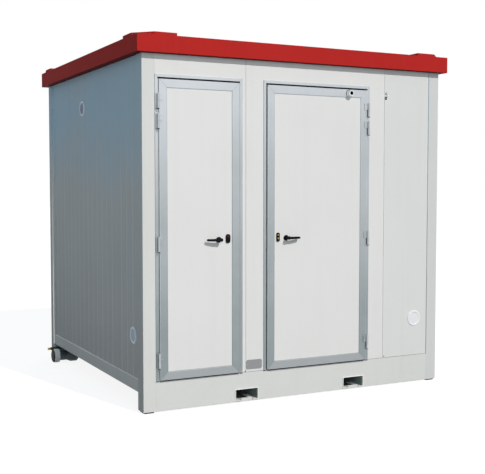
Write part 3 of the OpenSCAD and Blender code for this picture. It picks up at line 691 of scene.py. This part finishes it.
# The left screens' blue tints: a painted sky reflection on the shaded side
dark_screen = make_fly_screen("dark_screen", (0.32, 0.4, 0.5, 1.0), (0.5, 0.6, 0.74, 1.0), 0.4)
pale_screen = make_fly_screen("pale_screen", (0.74, 0.85, 0.95, 1.0), (0.78, 0.89, 0.98, 1.0), 0.1)
white_screen = make_fly_screen("white_screen", (0.8, 0.81, 0.85, 1.0), (0.84, 0.85, 0.88, 1.0), 0.06)
floor_board = make_floor_board()

# Finish of the frame's own pieces: the material, the radius in millimetres of edges that show, and the nodes
NODE_FINISH = (
    (frame_paint, 1.5, "front_base_beam", "rear_base_beam", "side_base_beams", "front_left_post"),
    (end_shade_paint, 1.5, "front_right_post"),
    (side_sheet, 1.5, "rear_left_post", "rear_right_post"),
    (side_sheet, 0.5, "left_wall", "right_wall", "rear_wall"),
    (wall_sheet, 0.8, "front_headers", "front_uprights"),
    (wall_sheet, 0, "left_door_panel", "right_door_panel"),
    (end_shade_sheet, 0.8, "front_end_panel"),
    (tunnel_paint, 1.2, "fork_tunnels"),
    (zinc_steel, 0, "floor_joists"),
    (foot_steel, 1.0, "foot_plates"),
    (floor_board, 0, "floor_deck"),
    (roof_panel_sheets, 0, "roof_panel"),
    (fascia_paint, 1.4, "roof_fascia"),
    (fascia_paint, 1.0, "roof_corner_plates"),
    (FRAME_BARS["left"], 0.8, "left_door_frame"),
    (FRAME_BARS["right"], 0.8, "right_door_frame"),
    (LEAF_BARS["left"], 1.2, "left_door_border"),
    (LEAF_BARS["right"], 1.2, "right_door_border"),
    (hinge_metal, 0.6, "left_frame_hinges", "right_frame_hinges", "left_leaf_hinges", "right_leaf_hinges"),
    (chrome, 0.4, "holder_peg"),
    (chrome, 1.2, "holder_socket"),
    (white_plastic, 0.7, "front_vent"),
    (sky_tinted_plastic, 0.7, "left_vents"),
    (waste_plastic, 0, "waste_pipe"),
    (coupling_grey, 3.0, "waste_coupling"),
    (pipe_grey, 0, "water_pipe"),
    (brass, 1.0, "water_nozzle"),
    (black_plastic, 1.2, "waste_cap", "left_lock", "right_lock"),
    (black_plastic, 2.2, "left_handle", "right_handle"),
)
SAME_PLANE = math.radians(0.5)


def dress(node, material, edge):
    """A copy of a node with whole faces and rounded edges, in the node's place."""
    piece = bpy.data.objects.new(node + "_finish", frame["nodes"][node].data.copy())
    scene.collection.objects.link(piece)
    select_only(piece)
    bpy.ops.mesh.customdata_custom_splitnormals_clear()
    bpy.ops.object.mode_set(mode="EDIT")
    bpy.ops.mesh.select_all(action="SELECT")
    bpy.ops.mesh.remove_doubles(threshold=SAME_POINT)
    bpy.ops.mesh.dissolve_limited(angle_limit=SAME_PLANE)
    bpy.ops.object.mode_set(mode="OBJECT")
    soften(piece, edge, segments=3)
    fit_out(piece, material, frame["nodes"][node]["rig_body"])
    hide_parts(node)


def coat(node, material, is_wanted):
    """Gives the wanted faces of a dressed node a second finish."""
    mesh = bpy.data.objects[node + "_finish"].data
    mesh.materials.append(material)
    for face in filter(is_wanted, mesh.polygons):
        face.material_index = 1


for material, edge_mm, *nodes in NODE_FINISH:
    for node in nodes:
        if edge_mm:
            dress(node, material, edge_mm * MM)
        else:
            frame["nodes"][node].data.materials.clear()
            frame["nodes"][node].data.materials.append(material)

# Second finishes: a painted highlight on the grooves in the walls, on the faces that lean from the wall's
# plane, a black mouth on the coupling, hinge wings like the bars that they lie on, and sides of the front posts
# with the walls' painted shade and sky reflection
GROOVE_LEAN = 0.2
MOUTH_LEAN = 0.5
FRONT_LEAN = 0.7
for wall in ("left_wall", "right_wall", "rear_wall"):
    coat(wall, rib_highlight_sheet, lambda face: min(abs(face.normal.x), abs(face.normal.y)) > GROOVE_LEAN)
coat("waste_coupling", black_plastic, lambda face: face.normal.x < -MOUTH_LEAN)
for door in DOORS:
    leaf_low, leaf_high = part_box(door + "_door_border")
    coat(door + "_leaf_hinges", LEAF_BARS[door], lambda face: leaf_low.x < face.center.x < leaf_high.x)
# The front posts' sides take the walls' painted shade and sky reflection
for post in ("front_left_post", "front_right_post"):
    coat(post, side_sheet, lambda face: face.normal.y > -FRONT_LEAN)

# Small fittings
FRONT = (0.0, -1.0, 0.0)
UP = (0.0, 0.0, 1.0)


def fit_steel(piece, body="cabin"):
    """Fits a piece as bright steel."""
    return fit_out(piece, screw_steel, body)


def fit_rubber(piece, body="cabin"):
    """Fits a piece as black rubber."""
    return fit_out(piece, rubber, body)


def raised(heights):
    return [(0.0, 0.0, height) for height in heights]


HINGE_H = 97 * MM
KNUCKLE_H = 48 * MM
KNUCKLE_R = 8 * MM
HINGE_PAIR = 130 * MM
HINGE_MIDDLE = 768 * MM
WING_T = 4 * MM
WING_SCREW_H = 1.6 * MM
FRAME_SCREW_OUT = 12 * MM
LEAF_SCREW_IN = 20 * MM
LOWER_CAP_H = 5 * MM
UPPER_CAP_H = 3 * MM
PACKER_REACH = 16 * MM
PACKER_GAP = 2 * MM
PACKER_LAP = 1 * MM
WING_SCREWS = (0.25, 0.75)


def make_hinge_details(side, hung):
    """Screws in the wings of a door's hinges, caps on the knuckles' ends, and the packers behind them."""
    leaf_low, leaf_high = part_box(side + "_leaf_hinges")
    frame_low, frame_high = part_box(side + "_frame_hinges")
    axis_x = leaf_low.x + KNUCKLE_R if hung < 0 else leaf_high.x - KNUCKLE_R
    axis_y = leaf_low.y + KNUCKLE_R
    lowest = frame_low.z
    highest = leaf_high.z - HINGE_H
    heights = (lowest, lowest + HINGE_MIDDLE, highest - HINGE_PAIR, highest)
    rises = [height + share * KNUCKLE_H for height in heights for share in WING_SCREWS]
    places = [(axis_x + hung * FRAME_SCREW_OUT, frame_high.y - WING_T, rise) for rise in rises]
    fit_steel(copies(side + "_frame_hinge_screws", screw_head(2.6 * MM, WING_SCREW_H, FRONT), places))
    places = [(axis_x - hung * LEAF_SCREW_IN, leaf_high.y - WING_T, rise + HINGE_H - KNUCKLE_H)
              for rise in rises]
    screws = copies(side + "_leaf_hinge_screws", screw_head(3 * MM, WING_SCREW_H, FRONT), places)
    fit_steel(screws, side + "_door")
    cap = soften(new_rod("cap", 7.4 * MM, LOWER_CAP_H, (axis_x, axis_y, -LOWER_CAP_H / 2), "Z"), 1 * MM)
    caps = copies(side + "_hinge_lower_caps", cap, raised(heights))
    fit_out(caps, black_plastic, "cabin")
    cap = soften(new_rod("cap", 7 * MM, UPPER_CAP_H, (axis_x, axis_y, UPPER_CAP_H / 2), "Z"), 1.2 * MM)
    caps = copies(side + "_hinge_upper_caps", cap, raised(height + HINGE_H for height in heights))
    fit_out(caps, hinge_metal, side + "_door")
    packer = soft_block("packer", 1.5 * MM,
                        (axis_x - hung * PACKER_LAP, axis_y + KNUCKLE_R + PACKER_GAP, 0.0),
                        (axis_x + hung * PACKER_REACH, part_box(side + "_door_frame")[0].y, HINGE_H))
    packers = copies(side + "_hinge_packers", packer, raised(heights))
    fit_out(packers, FRAME_BARS[side], "cabin")


RIM_W = 20 * MM
LATCH_BELOW = 90 * MM
LATCH_ABOVE = 110 * MM
LATCH_INSET = 9 * MM
LATCH_T = 1.2 * MM
BOLT_OUT = 3 * MM
BOLT_HALF = 9 * MM
BOLT_INSET = 5 * MM
STRIKE_SHORTER = 20 * MM
STRIKE_HALF_T = 0.7 * MM
STRIKE_SCREW_IN = 30 * MM
POCKET_HALF = 14 * MM
POCKET_HALF_T = 1 * MM


def make_latch(side, hung):
    """The latch's face plate on a leaf's closing edge, and the strike plate that faces it on the frame."""
    frame_low, frame_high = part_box(side + "_door_frame")
    leaf_low, leaf_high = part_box(side + "_door_border")
    handle_low, handle_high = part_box(side + "_handle")
    handle_z = (handle_low.z + handle_high.z) / 2
    low_z, high_z = handle_z - LATCH_BELOW, handle_z + LATCH_ABOVE
    near_y, far_y = leaf_low.y + LATCH_INSET, leaf_high.y - LATCH_INSET
    edge = leaf_high.x if hung < 0 else leaf_low.x
    web = frame_high.x - RIM_W if hung < 0 else frame_low.x + RIM_W
    plate = soft_block("plate", 0.4 * MM, (edge, near_y, low_z), (edge - hung * LATCH_T, far_y, high_z))
    bolt = soft_block("bolt", 0.8 * MM, (edge, near_y + BOLT_INSET, handle_z - BOLT_HALF),
                      (edge - hung * BOLT_OUT, far_y - BOLT_INSET, handle_z + BOLT_HALF))
    fit_steel(joined(side + "_latch", [plate, bolt]), side + "_door")
    fit_steel(soft_block(side + "_strike_plate", 0.3 * MM,
                         (web - STRIKE_HALF_T, near_y, low_z + STRIKE_SHORTER),
                         (web + STRIKE_HALF_T, far_y, high_z - STRIKE_SHORTER)))
    fit_rubber(soft_block(side + "_strike_pocket", 0.3 * MM,
                          (web - POCKET_HALF_T, near_y + BOLT_INSET, handle_z - POCKET_HALF),
                          (web + POCKET_HALF_T, far_y - BOLT_INSET, handle_z + POCKET_HALF)))
    places = [(web + hung * STRIKE_HALF_T, (near_y + far_y) / 2, z)
              for z in (low_z + STRIKE_SCREW_IN, high_z - STRIKE_SCREW_IN)]
    fit_steel(copies(side + "_strike_screws", screw_head(3 * MM, 1 * MM, (hung, 0.0, 0.0)), places))


STOP_GAP = 5 * MM
SEAL_T = 3.5 * MM
SEAL_W = 8 * MM
SEAL_SIDE = 30 * MM
SEAL_FOOT = 12 * MM
SEAL_HEAD = 34 * MM
HEAD_SEAL_IN = 3 * MM
HEAD_SEAL_FOOT = 2 * MM
HEAD_SEAL_TOP = 11.5 * MM
SWEEP_SHORTER = 2 * MM
SWEEP_DEPTHS = (1 * MM, 8 * MM)
SWEEP_DROP = 6 * MM
SWEEP_LAP = 0.5 * MM
LEAF_GAP = 7 * MM
STRIP_T = 5 * MM
FOOT_CAP_H = 5 * MM
FOOT_CAP_IN = 0.5 * MM
FOOT_CAP_GAP = 0.3 * MM
JAMB_SCREWS = (0.06, 0.29, 0.46, 0.7, 0.9)
JAMB_SCREW_IN = 5 * MM
HEAD_SCREWS = (0.28, 0.72)
HEAD_SCREW_IN = 6 * MM


def make_door_trim(side, hung):
    """A door's seals, the sweep under its leaf, the strip beside its hinges, screws and foot caps."""
    frame_low, frame_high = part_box(side + "_door_frame")
    leaf_low, leaf_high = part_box(side + "_door_border")
    stop = leaf_high.y + STOP_GAP
    seal = new_ring_plate(side + "_door_seal", (frame_low.x + SEAL_SIDE, stop - SEAL_T, base_top + SEAL_FOOT),
                          (frame_high.x - SEAL_SIDE, stop, frame_high.z - SEAL_HEAD), SEAL_W)
    fit_rubber(soften(seal, 1.4 * MM))
    # The black head seal and foot sweep also darken the gaps above and below the leaf as painted shade
    fit_rubber(soft_block(side + "_head_seal", 1.5 * MM,
                          (leaf_low.x, frame_low.y + HEAD_SEAL_IN, leaf_high.z + HEAD_SEAL_FOOT),
                          (leaf_high.x, leaf_high.y, leaf_high.z + HEAD_SEAL_TOP)))
    near_y, far_y = (leaf_low.y + depth for depth in SWEEP_DEPTHS)
    sweep = soft_block(side + "_foot_sweep", 1 * MM,
                       (leaf_low.x + SWEEP_SHORTER, near_y, leaf_low.z - SWEEP_DROP),
                       (leaf_high.x - SWEEP_SHORTER, far_y, leaf_low.z + SWEEP_LAP))
    fit_rubber(sweep, side + "_door")
    web = (leaf_low.x if hung < 0 else leaf_high.x) + hung * LEAF_GAP
    strip = soft_block(side + "_hinge_strip", 0.8 * MM, (web, frame_low.y, base_top),
                       (web - hung * STRIP_T, leaf_high.y, leaf_high.z))
    fit_out(strip, FRAME_BARS[side], "cabin")
    tall = frame_high.z - frame_low.z
    wide = frame_high.x - frame_low.x
    places = [(x, frame_low.y, frame_low.z + share * tall)
              for x in (frame_low.x + JAMB_SCREW_IN, frame_high.x - JAMB_SCREW_IN) for share in JAMB_SCREWS]
    places += [(frame_low.x + share * wide, frame_low.y, frame_high.z - HEAD_SCREW_IN)
               for share in HEAD_SCREWS]
    fit_steel(copies(side + "_frame_screws", screw_head(2.2 * MM, 1.2 * MM, FRONT), places))
    foot = soft_block("foot", 1 * MM, (0.0, frame_low.y + FOOT_CAP_IN, base_top - FOOT_CAP_H),
                      (RIM_W, cabin_front - FOOT_CAP_GAP, base_top))
    places = [(x, 0.0, 0.0) for x in (frame_low.x, frame_high.x - RIM_W)]
    fit_rubber(copies(side + "_jamb_feet", foot, places))


LOCK_WIDTH = {"left": 33 * MM, "right": 25 * MM}
LOCK_HEIGHT = 61 * MM
WINDOW_HALF_W = 5.5 * MM
WINDOW_HALF_H = 4 * MM
WINDOW_DEPTHS = (0.2 * MM, 1.5 * MM)
LOCK_RIM = 3 * MM
LOCK_RECESS = 0.8 * MM
LOCK_ROUND = 0.47
KEY_DROP = 8 * MM
KEY_R = 6.2 * MM
KEY_LENGTH = 3 * MM
KEY_PROUD = 0.5 * MM
KEY_RIM = 1.2 * MM
KEY_RECESS = 0.5 * MM
SLOT_PROUD = (1.7 * MM, 1 * MM)
SLOT_HALF_W = 0.7 * MM
SLOT_HALF_H = 4 * MM


def make_lock_details(side, hung):
    """A key cylinder with its slot, and the sign window in the lock's recess."""
    low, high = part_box(side + "_lock")
    body = side + "_door"
    half = LOCK_WIDTH[side] / 2
    plate_x = high.x - half if hung < 0 else low.x + half
    plate_z = high.z - LOCK_HEIGHT / 2
    window_z = plate_z + LOCK_HEIGHT / 4
    key_z = plate_z - KEY_DROP
    near_y, far_y = (low.y + depth for depth in WINDOW_DEPTHS)
    window = soft_block(side + "_lock_window", 0.4 * MM,
                        (plate_x - WINDOW_HALF_W, near_y, window_z - WINDOW_HALF_H),
                        (plate_x + WINDOW_HALF_W, far_y, window_z + WINDOW_HALF_H))
    fit_out(window, signal_red if side == "left" else brass, body)
    barrel = new_rod(side + "_key_cylinder", KEY_R, KEY_LENGTH, (plate_x, low.y - KEY_PROUD, key_z), "Y")
    edit_faces(barrel, facing(y=-1), inset(KEY_RIM), extrude(y=KEY_RECESS))
    fit_out(soften(barrel, 0.2 * MM), brass if side == "right" else black_plastic, body)
    near_y, far_y = (low.y - proud for proud in SLOT_PROUD)
    slot = soft_block(side + "_key_slot", 0.2 * MM, (plate_x - SLOT_HALF_W, near_y, key_z - SLOT_HALF_H),
                      (plate_x + SLOT_HALF_W, far_y, key_z + SLOT_HALF_H))
    fit_rubber(slot, body)


def round_left_lock():
    """Gives the left lock a plate with fully round ends."""
    low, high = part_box("left_lock")
    lock = bpy.data.objects["left_lock_finish"]
    width = LOCK_WIDTH["left"]
    start = high.x - width
    edit_faces(lock, lambda face: face.center.x > start - 1 * MM, delete_faces)
    plate = new_block("plate", (start, low.y, high.z - LOCK_HEIGHT),
                      (high.x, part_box("left_door_panel")[0].y, high.z))
    round_corners(plate, width * LOCK_ROUND, 8)
    edit_faces(plate, facing(y=-1), inset(LOCK_RIM), extrude(y=LOCK_RECESS))
    soften(plate, 0.3 * MM).data.materials.append(black_plastic)
    joined("left_lock_finish", [lock, plate])


FLANGE_W = 80 * MM
RIB_COUNT = 8
RIB_HALF_W = 22 * MM
RIB_H = 9 * MM
RIB_ROOT = 1 * MM
RIB_TAPER = 0.5
ROOF_SCREW_ROWS = 5
FASCIA_RIVETS = 6
RIVET_INSET = 40 * MM


def spread(low, high, count):
    """Places between two ends, with equal gaps and no place at the ends."""
    return [low + (i + 1) * (high - low) / (count + 1) for i in range(count)]


def make_roof_ribs():
    """Low ribs of the roof sheet, with screws between them, and rivets in the fascia's flanges."""
    fascia_low, fascia_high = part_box("roof_fascia")
    low_x, high_x = fascia_low.x + FLANGE_W, fascia_high.x - FLANGE_W
    low_y, high_y = fascia_low.y + FLANGE_W, fascia_high.y - FLANGE_W
    pitch = (high_x - low_x) / RIB_COUNT
    rib = new_block("rib", (-RIB_HALF_W, low_y, roof_top - RIB_ROOT), (RIB_HALF_W, high_y, roof_top + RIB_H))
    edit_faces(rib, facing(z=1), lambda: bpy.ops.transform.resize(value=(RIB_TAPER, 1.0, 1.0)))
    rows = [low_x + (i + 0.5) * pitch for i in range(RIB_COUNT)]
    ribs = copies("roof_ribs", soften(rib, 2 * MM), [(x, 0.0, 0.0) for x in rows])
    fit_out(ribs, roof_sheet, "cabin")
    stops = [low_y + (i + 0.5) * (high_y - low_y) / ROOF_SCREW_ROWS for i in range(ROOF_SCREW_ROWS)]
    places = [(x + pitch / 2, y, roof_top) for x in rows[:-1] for y in stops]
    fit_steel(copies("roof_screws", screw_head(6 * MM, 4 * MM, UP), places))
    rim = [(x, y, cap_top) for x in spread(fascia_low.x, fascia_high.x, FASCIA_RIVETS)
           for y in (fascia_low.y + RIVET_INSET, fascia_high.y - RIVET_INSET)]
    rim += [(x, y, cap_top) for y in spread(fascia_low.y, fascia_high.y, FASCIA_RIVETS)
            for x in (fascia_low.x + RIVET_INSET, fascia_high.x - RIVET_INSET)]
    rivets = copies("fascia_rivets", screw_head(4 * MM, 2.2 * MM, UP), rim)
    fit_out(rivets, fascia_paint, "cabin")


SIDE_FIRST_PANEL = 450 * MM
MIDDLE_PANEL = 1200 * MM
DRIP_DEPTH = 7 * MM
DRIP_HEIGHT = 5 * MM
DRIP_GAP = 6 * MM


def make_drip_strips():
    """Bright folded strips along the feet of the side and rear panels, broken at the panel joints."""
    low_y, high_y = cabin_front + post_depth, cabin_rear - post_depth
    side_stops = (low_y, low_y + SIDE_FIRST_PANEL, low_y + SIDE_FIRST_PANEL + MIDDLE_PANEL, high_y)
    low_x, high_x = cabin_left + post_width, cabin_right - post_width
    rear_first = (high_x - low_x - MIDDLE_PANEL) / 2
    rear_stops = (low_x, low_x + rear_first, high_x - rear_first, high_x)
    side_faces = (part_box("left_wall")[0].x - DRIP_DEPTH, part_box("right_wall")[1].x)
    rear_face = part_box("rear_wall")[1].y
    top = base_top + DRIP_HEIGHT
    strips = []
    for start, end in zip(side_stops, side_stops[1:]):
        for face in side_faces:
            strips.append(new_block("strip", (face, start + DRIP_GAP, base_top),
                                    (face + DRIP_DEPTH, end - DRIP_GAP, top)))
    for start, end in zip(rear_stops, rear_stops[1:]):
        strips.append(new_block("strip", (start + DRIP_GAP, rear_face, base_top),
                                (end - DRIP_GAP, rear_face + DRIP_DEPTH, top)))
    fit_out(soften(joined("wall_drip_strips", strips), 1.8 * MM), drip_metal, "cabin")


FOOT_SEAL_H = 1.8 * MM
FOOT_SEAL_PROUD = 0.8 * MM


def make_foot_seals():
    """Dark beads of sealant between the feet of the front panels and the beam."""
    right_low, right_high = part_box("right_door_frame")
    spans = ((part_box("left_door_frame")[1].x, right_low.x), (right_high.x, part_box("front_right_post")[0].x))
    beads = [new_block("bead", (start, cabin_front - FOOT_SEAL_PROUD, base_top),
                       (end, cabin_front + FOOT_SEAL_PROUD, base_top + FOOT_SEAL_H)) for start, end in spans]
    fit_out(soften(joined("wall_foot_seals", beads), 0.4 * MM), pipe_grey, "cabin")


POST_STRIP_T = 1.5 * MM
POST_STRIP_W = 30 * MM


def make_post_strips():
    """Cover strips on the rear posts, beside the joints with the side walls."""
    start = cabin_rear - post_depth
    low_z, high_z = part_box("side_base_beams")[0].z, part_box("rear_left_post")[1].z
    strips = [new_block("strip", (face - POST_STRIP_T, start, low_z),
                        (face + POST_STRIP_T, start + POST_STRIP_W, high_z))
              for face in (cabin_left, cabin_right)]
    fit_out(soften(joined("rear_post_strips", strips), 0.6 * MM), strip_light_sheet, "cabin")


SCREEN_R = 42.5 * MM
SCREEN_T = 1 * MM
SCREEN_DEPTH = 1.9 * MM
SCREEN_SIDES = 48
SCREEN_HEM = 3 * MM
SCREEN_SAG = 0.3 * MM


def make_fly_screens():
    """Fine screens over the vents' grilles: white in front, and on the left pale below and dark above, both
    tinted blue as a painted sky reflection.
    """
    low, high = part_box("front_vent")
    middle = (low + high) / 2
    radius = (high.x - low.x) / 2
    left_low, left_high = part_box("left_vents")
    left_x = left_low.x + SCREEN_DEPTH
    screens = (("front_vent_screen", white_screen, (middle.x, low.y + SCREEN_DEPTH, middle.z), "Y"),
               ("low_vent_screen", pale_screen, (left_x, left_low.y + radius, left_low.z + radius), "X"),
               ("high_vent_screen", dark_screen, (left_x, left_high.y - radius, left_high.z - radius), "X"))
    for name, finish, place, axis in screens:
        screen = new_rod(name, SCREEN_R, SCREEN_T, place, axis, SCREEN_SIDES)
        edit_faces(screen, lambda face: face.area > SCREEN_R ** 2, inset(SCREEN_HEM, -SCREEN_SAG))
        fit_out(screen, finish, "cabin")


PLATE_X = (754 * MM, 878 * MM)
PLATE_Z = (230 * MM, 296 * MM)
PLATE_T = 2 * MM
PLATE_CUT = 9 * MM
PLATE_RIM = 4 * MM
PLATE_RECESS = 0.8 * MM
PLATE_RIVET_IN = 9 * MM
PLATE_SCREW_OUT = 6 * MM
PLATE_SCREW_DROP = 10 * MM
END_SCREW_X = 1912 * MM
END_SCREW_RISE = 12 * MM


def make_bare_plate():
    """The bare plate between the doors, with cut corners, a raised rim and two rivets, and foot screws."""
    low_x, high_x = (cabin_left + x for x in PLATE_X)
    low_z, high_z = PLATE_Z
    plate = new_block("bare_plate", (low_x, cabin_front - PLATE_T, low_z), (high_x, cabin_front, high_z))
    round_corners(plate, PLATE_CUT, 1)
    edit_faces(plate, facing(y=-1), inset(PLATE_RIM), extrude(y=PLATE_RECESS))
    fit_out(soften(plate, 0.4 * MM), plate_grey, "cabin")
    places = [(x, cabin_front - PLATE_T + PLATE_RECESS, (low_z + high_z) / 2)
              for x in (low_x + PLATE_RIVET_IN, high_x - PLATE_RIVET_IN)]
    fit_steel(copies("plate_rivets", screw_head(2.6 * MM, 1.4 * MM, FRONT), places))
    places = [(low_x - PLATE_SCREW_OUT, cabin_front, low_z - PLATE_SCREW_DROP),
              (cabin_left + END_SCREW_X, cabin_front, base_top + END_SCREW_RISE)]
    screws = copies("wall_foot_screws", screw_head(4 * MM, 2.4 * MM, FRONT), places)
    fit_out(screws, foot_steel, "cabin")


GRIP_SIDES = 48
GRIP_PROUD = 0.6 * MM
GRIP_RIB = 1.6 * MM
GRIP_T = 1.5 * MM
GRIP_SHARE = 0.6
RIDGE_WIRE = 1.6 * MM
RIDGE_STRETCH = 1.4
RIDGE_RISES = (4 * MM, 9 * MM, 14 * MM)


def make_pipe_details():
    """Grip ribs round the waste coupling, and hose ridges on the water nozzle."""
    low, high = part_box("waste_coupling")
    band = new_rod("waste_coupling_grip", (high.y - low.y) / 2 + GRIP_PROUD, (high.x - low.x) * GRIP_SHARE,
                   (low + high) / 2, "X", GRIP_SIDES)
    edit_faces(band, lambda face: abs(face.normal.x) > ALIGNED, delete_faces)
    step = 2 * math.pi / GRIP_SIDES
    edit_faces(band, lambda face: math.floor(math.atan2(face.normal.z, face.normal.y) / step) % 2,
               fatten(GRIP_RIB))
    apply_modifier(band, "SOLIDIFY", thickness=GRIP_T, offset=-1.0)
    fit_out(soften(band, 0.4 * MM, angle=30.0), coupling_grey, "cabin")
    low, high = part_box("water_nozzle")
    middle = (low + high) / 2
    ridges = [new_ring("ridge", (high.y - low.y) / 2, RIDGE_WIRE, (low.x + rise, middle.y, middle.z), "X",
                       RIDGE_STRETCH) for rise in RIDGE_RISES]
    fit_out(joined("water_nozzle_ridges", ridges), brass, "cabin")


LINER_R = 13.3 * MM
LINER_DEPTH = 21 * MM
LINER_IN = 1 * MM
LINER_T = 1.2 * MM
WASHER_R = 24.8 * MM
WASHER_WIRE = 2.5 * MM
WASHER_IN = 2 * MM
PEG_PLATE_HALF_W = 7 * MM
PEG_PLATE_BELOW = 30 * MM
PEG_PLATE_ABOVE = 22 * MM
PEG_PLATE_T = 2.5 * MM
PEG_SCREW_RISES = (-22 * MM, 16 * MM)


def make_holder_details():
    """The liner and the washer of the door holder's socket, and the plate behind its peg."""
    low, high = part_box("holder_socket")
    middle = (low + high) / 2
    liner = new_rod("holder_liner", LINER_R, LINER_DEPTH,
                    (middle.x, low.y + LINER_IN + LINER_DEPTH / 2, middle.z), "Y")
    edit_faces(liner, facing(y=-1), delete_faces)
    apply_modifier(liner, "SOLIDIFY", thickness=LINER_T, offset=-1.0)
    fit_rubber(soften(liner, 0.3 * MM), "right_door")
    # The black washer also stands in for the dark reflection round the socket's foot, as painted reflection
    washer = new_ring("holder_washer", WASHER_R, WASHER_WIRE, (middle.x, high.y - WASHER_IN, middle.z), "Y")
    fit_rubber(washer, "right_door")
    low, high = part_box("holder_peg")
    middle = (low + high) / 2
    face = high.y - PEG_PLATE_T
    plate = new_block("holder_peg_plate", (middle.x - PEG_PLATE_HALF_W, face, middle.z - PEG_PLATE_BELOW),
                      (middle.x + PEG_PLATE_HALF_W, high.y, middle.z + PEG_PLATE_ABOVE))
    round_corners(plate, 4 * MM, 3)
    fit_out(soften(plate, 0.5 * MM), pipe_grey, "cabin")
    places = [(middle.x, face, middle.z + rise) for rise in PEG_SCREW_RISES]
    fit_steel(copies("holder_plate_screws", screw_head(3.5 * MM, 2 * MM, FRONT), places))


for door, hung_side in DOORS.items():
    make_hinge_details(door, hung_side)
    make_latch(door, hung_side)
    make_door_trim(door, hung_side)
    make_lock_details(door, hung_side)
round_left_lock()
make_roof_ribs()
make_drip_strips()
make_foot_seals()
make_post_strips()
make_fly_screens()
make_bare_plate()
make_pipe_details()
make_holder_details()

# Camera, at the photograph's viewing angle
CAMERA_PLACE = (-3.2538, -6.6342, 1.4959)
CAMERA_TURN = 26.9
CAMERA_DIP = 3.21
LENS = 66.92
SENSOR_W = 36.0
bpy.ops.object.camera_add(location=CAMERA_PLACE,
                          rotation=(math.radians(90 - CAMERA_DIP), 0.0, math.radians(-CAMERA_TURN)))
scene.camera = bpy.context.object
scene.camera.data.lens = LENS
scene.camera.data.sensor_width = SENSOR_W

# Light: a key from the front right, a soft panel at the front left, a faint rear fill and a cool world
SUN_PLACE = (0.0, 0.0, 6.0)
WHITE = (1.0, 1.0, 1.0, 1.0)
FILL_COLOUR = (0.152, 0.202, 0.237, 1.0)


def add_lamp(name, kind, place, towards, energy, colour):
    """A lamp at a place that shines in one direction."""
    bpy.ops.object.light_add(type=kind, location=place)
    lamp = bpy.context.object
    lamp.name = name
    lamp.rotation_euler = Vector(towards).to_track_quat("-Z", "Y").to_euler()
    lamp.data.energy = energy
    lamp.data.color = colour
    return lamp


def add_sun(name, towards, energy, angle, colour):
    """A far lamp, with its width in degrees."""
    add_lamp(name, "SUN", SUN_PLACE, towards, energy, colour).data.angle = math.radians(angle)


def add_panel(name, place, target, energy, side, colour):
    """A wide square lamp at a place, turned to a target."""
    lamp = add_lamp(name, "AREA", place, Vector(target) - Vector(place), energy, colour)
    lamp.data.size = side
    lamp.visible_camera = False
    lamp.visible_glossy = False


add_sun("key", (-0.25, 1.0, -0.78), 2.36, 1.2, (0.985, 0.942, 0.903))
add_panel("front_panel", (-2.5, -9.1, 3.2), (-0.6, -1.1, 1.2), 155.0, 4.0, (1.0, 0.99, 0.985))
add_sun("rear_fill", (-0.5, -1.0, -0.6), 0.5, 40.0, (1.0, 0.99, 0.98))


def shown_rays(near):
    """1 for rays that show the backdrop: straight from the camera, mirrored or through glass."""
    path = new_node(near, "ShaderNodeLightPath").outputs
    mirrored = math_node("MAXIMUM", path["Is Glossy Ray"], path["Is Transmission Ray"])
    return math_node("MAXIMUM", path["Is Camera Ray"], mirrored)


world = bpy.data.worlds.new("studio")
scene.world = world
world.use_nodes = True
sky = world.node_tree
sky.nodes.clear()
backdrop = feed(sky.nodes.new("ShaderNodeBackground"), Color=WHITE, Strength=1.0)
fill = feed(sky.nodes.new("ShaderNodeBackground"), Color=FILL_COLOUR, Strength=1.0)
both = sky.nodes.new("ShaderNodeMixShader")
for socket, source in zip(both.inputs, (shown_rays(fill), fill.outputs[0], backdrop.outputs[0])):
    sky.links.new(source, socket)
sky.links.new(both.outputs[0], sky.nodes.new("ShaderNodeOutputWorld").inputs["Surface"])

# Floor: pale and matt, with a glow for the rays that show it, but none under the slots of the fork tunnels,
# which paints a shadow on the ground there
FLOOR_SIDE = 120.0
FLOOR_TONE = 0.28
FLOOR_GLOW = 0.88
TUNNEL_W = 180 * MM
SLOT_SET_BACK = 50 * MM


def slot_shade(near):
    """1 on the ground under the open slots of the fork tunnels, where the glow is taken away as a painted
    shadow.
    """
    low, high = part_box("fork_tunnels")
    middle = (low + high) / 2
    along = axes(object_place(near))
    from_slot = from_middle(from_middle(along["X"], middle.x), (high.x - low.x - TUNNEL_W) / 2)
    inside = below(from_middle(along["Y"], middle.y), (high.y - low.y) / 2 - SLOT_SET_BACK)
    return times(inside, below(from_slot, TUNNEL_W / 2))


def make_floor_finish():
    material = bpy.data.materials.new("pale_floor")
    material.use_nodes = True
    tree = material.node_tree
    tree.nodes.clear()
    matt = feed(tree.nodes.new("ShaderNodeBsdfDiffuse"), Color=(FLOOR_TONE, FLOOR_TONE, FLOOR_TONE, 1.0))
    lit = minus(FLOOR_GLOW, times(slot_shade(matt), FLOOR_GLOW))
    shown = times(shown_rays(matt), lit)
    glow = add_node(matt, "ShaderNodeEmission", Color=WHITE, Strength=shown)
    total = tree.nodes.new("ShaderNodeAddShader")
    tree.links.new(matt.outputs[0], total.inputs[0])
    tree.links.new(glow.outputs[0], total.inputs[1])
    tree.links.new(total.outputs[0], tree.nodes.new("ShaderNodeOutputMaterial").inputs["Surface"])
    return material


bpy.ops.object.select_all(action="DESELECT")
bpy.ops.mesh.primitive_plane_add(size=FLOOR_SIDE, location=(0.0, 0.0, cad_low.z))
floor = bpy.context.object
floor.name = "studio_floor"
floor.data.materials.append(make_floor_finish())

scene.view_settings.view_transform = "Standard"
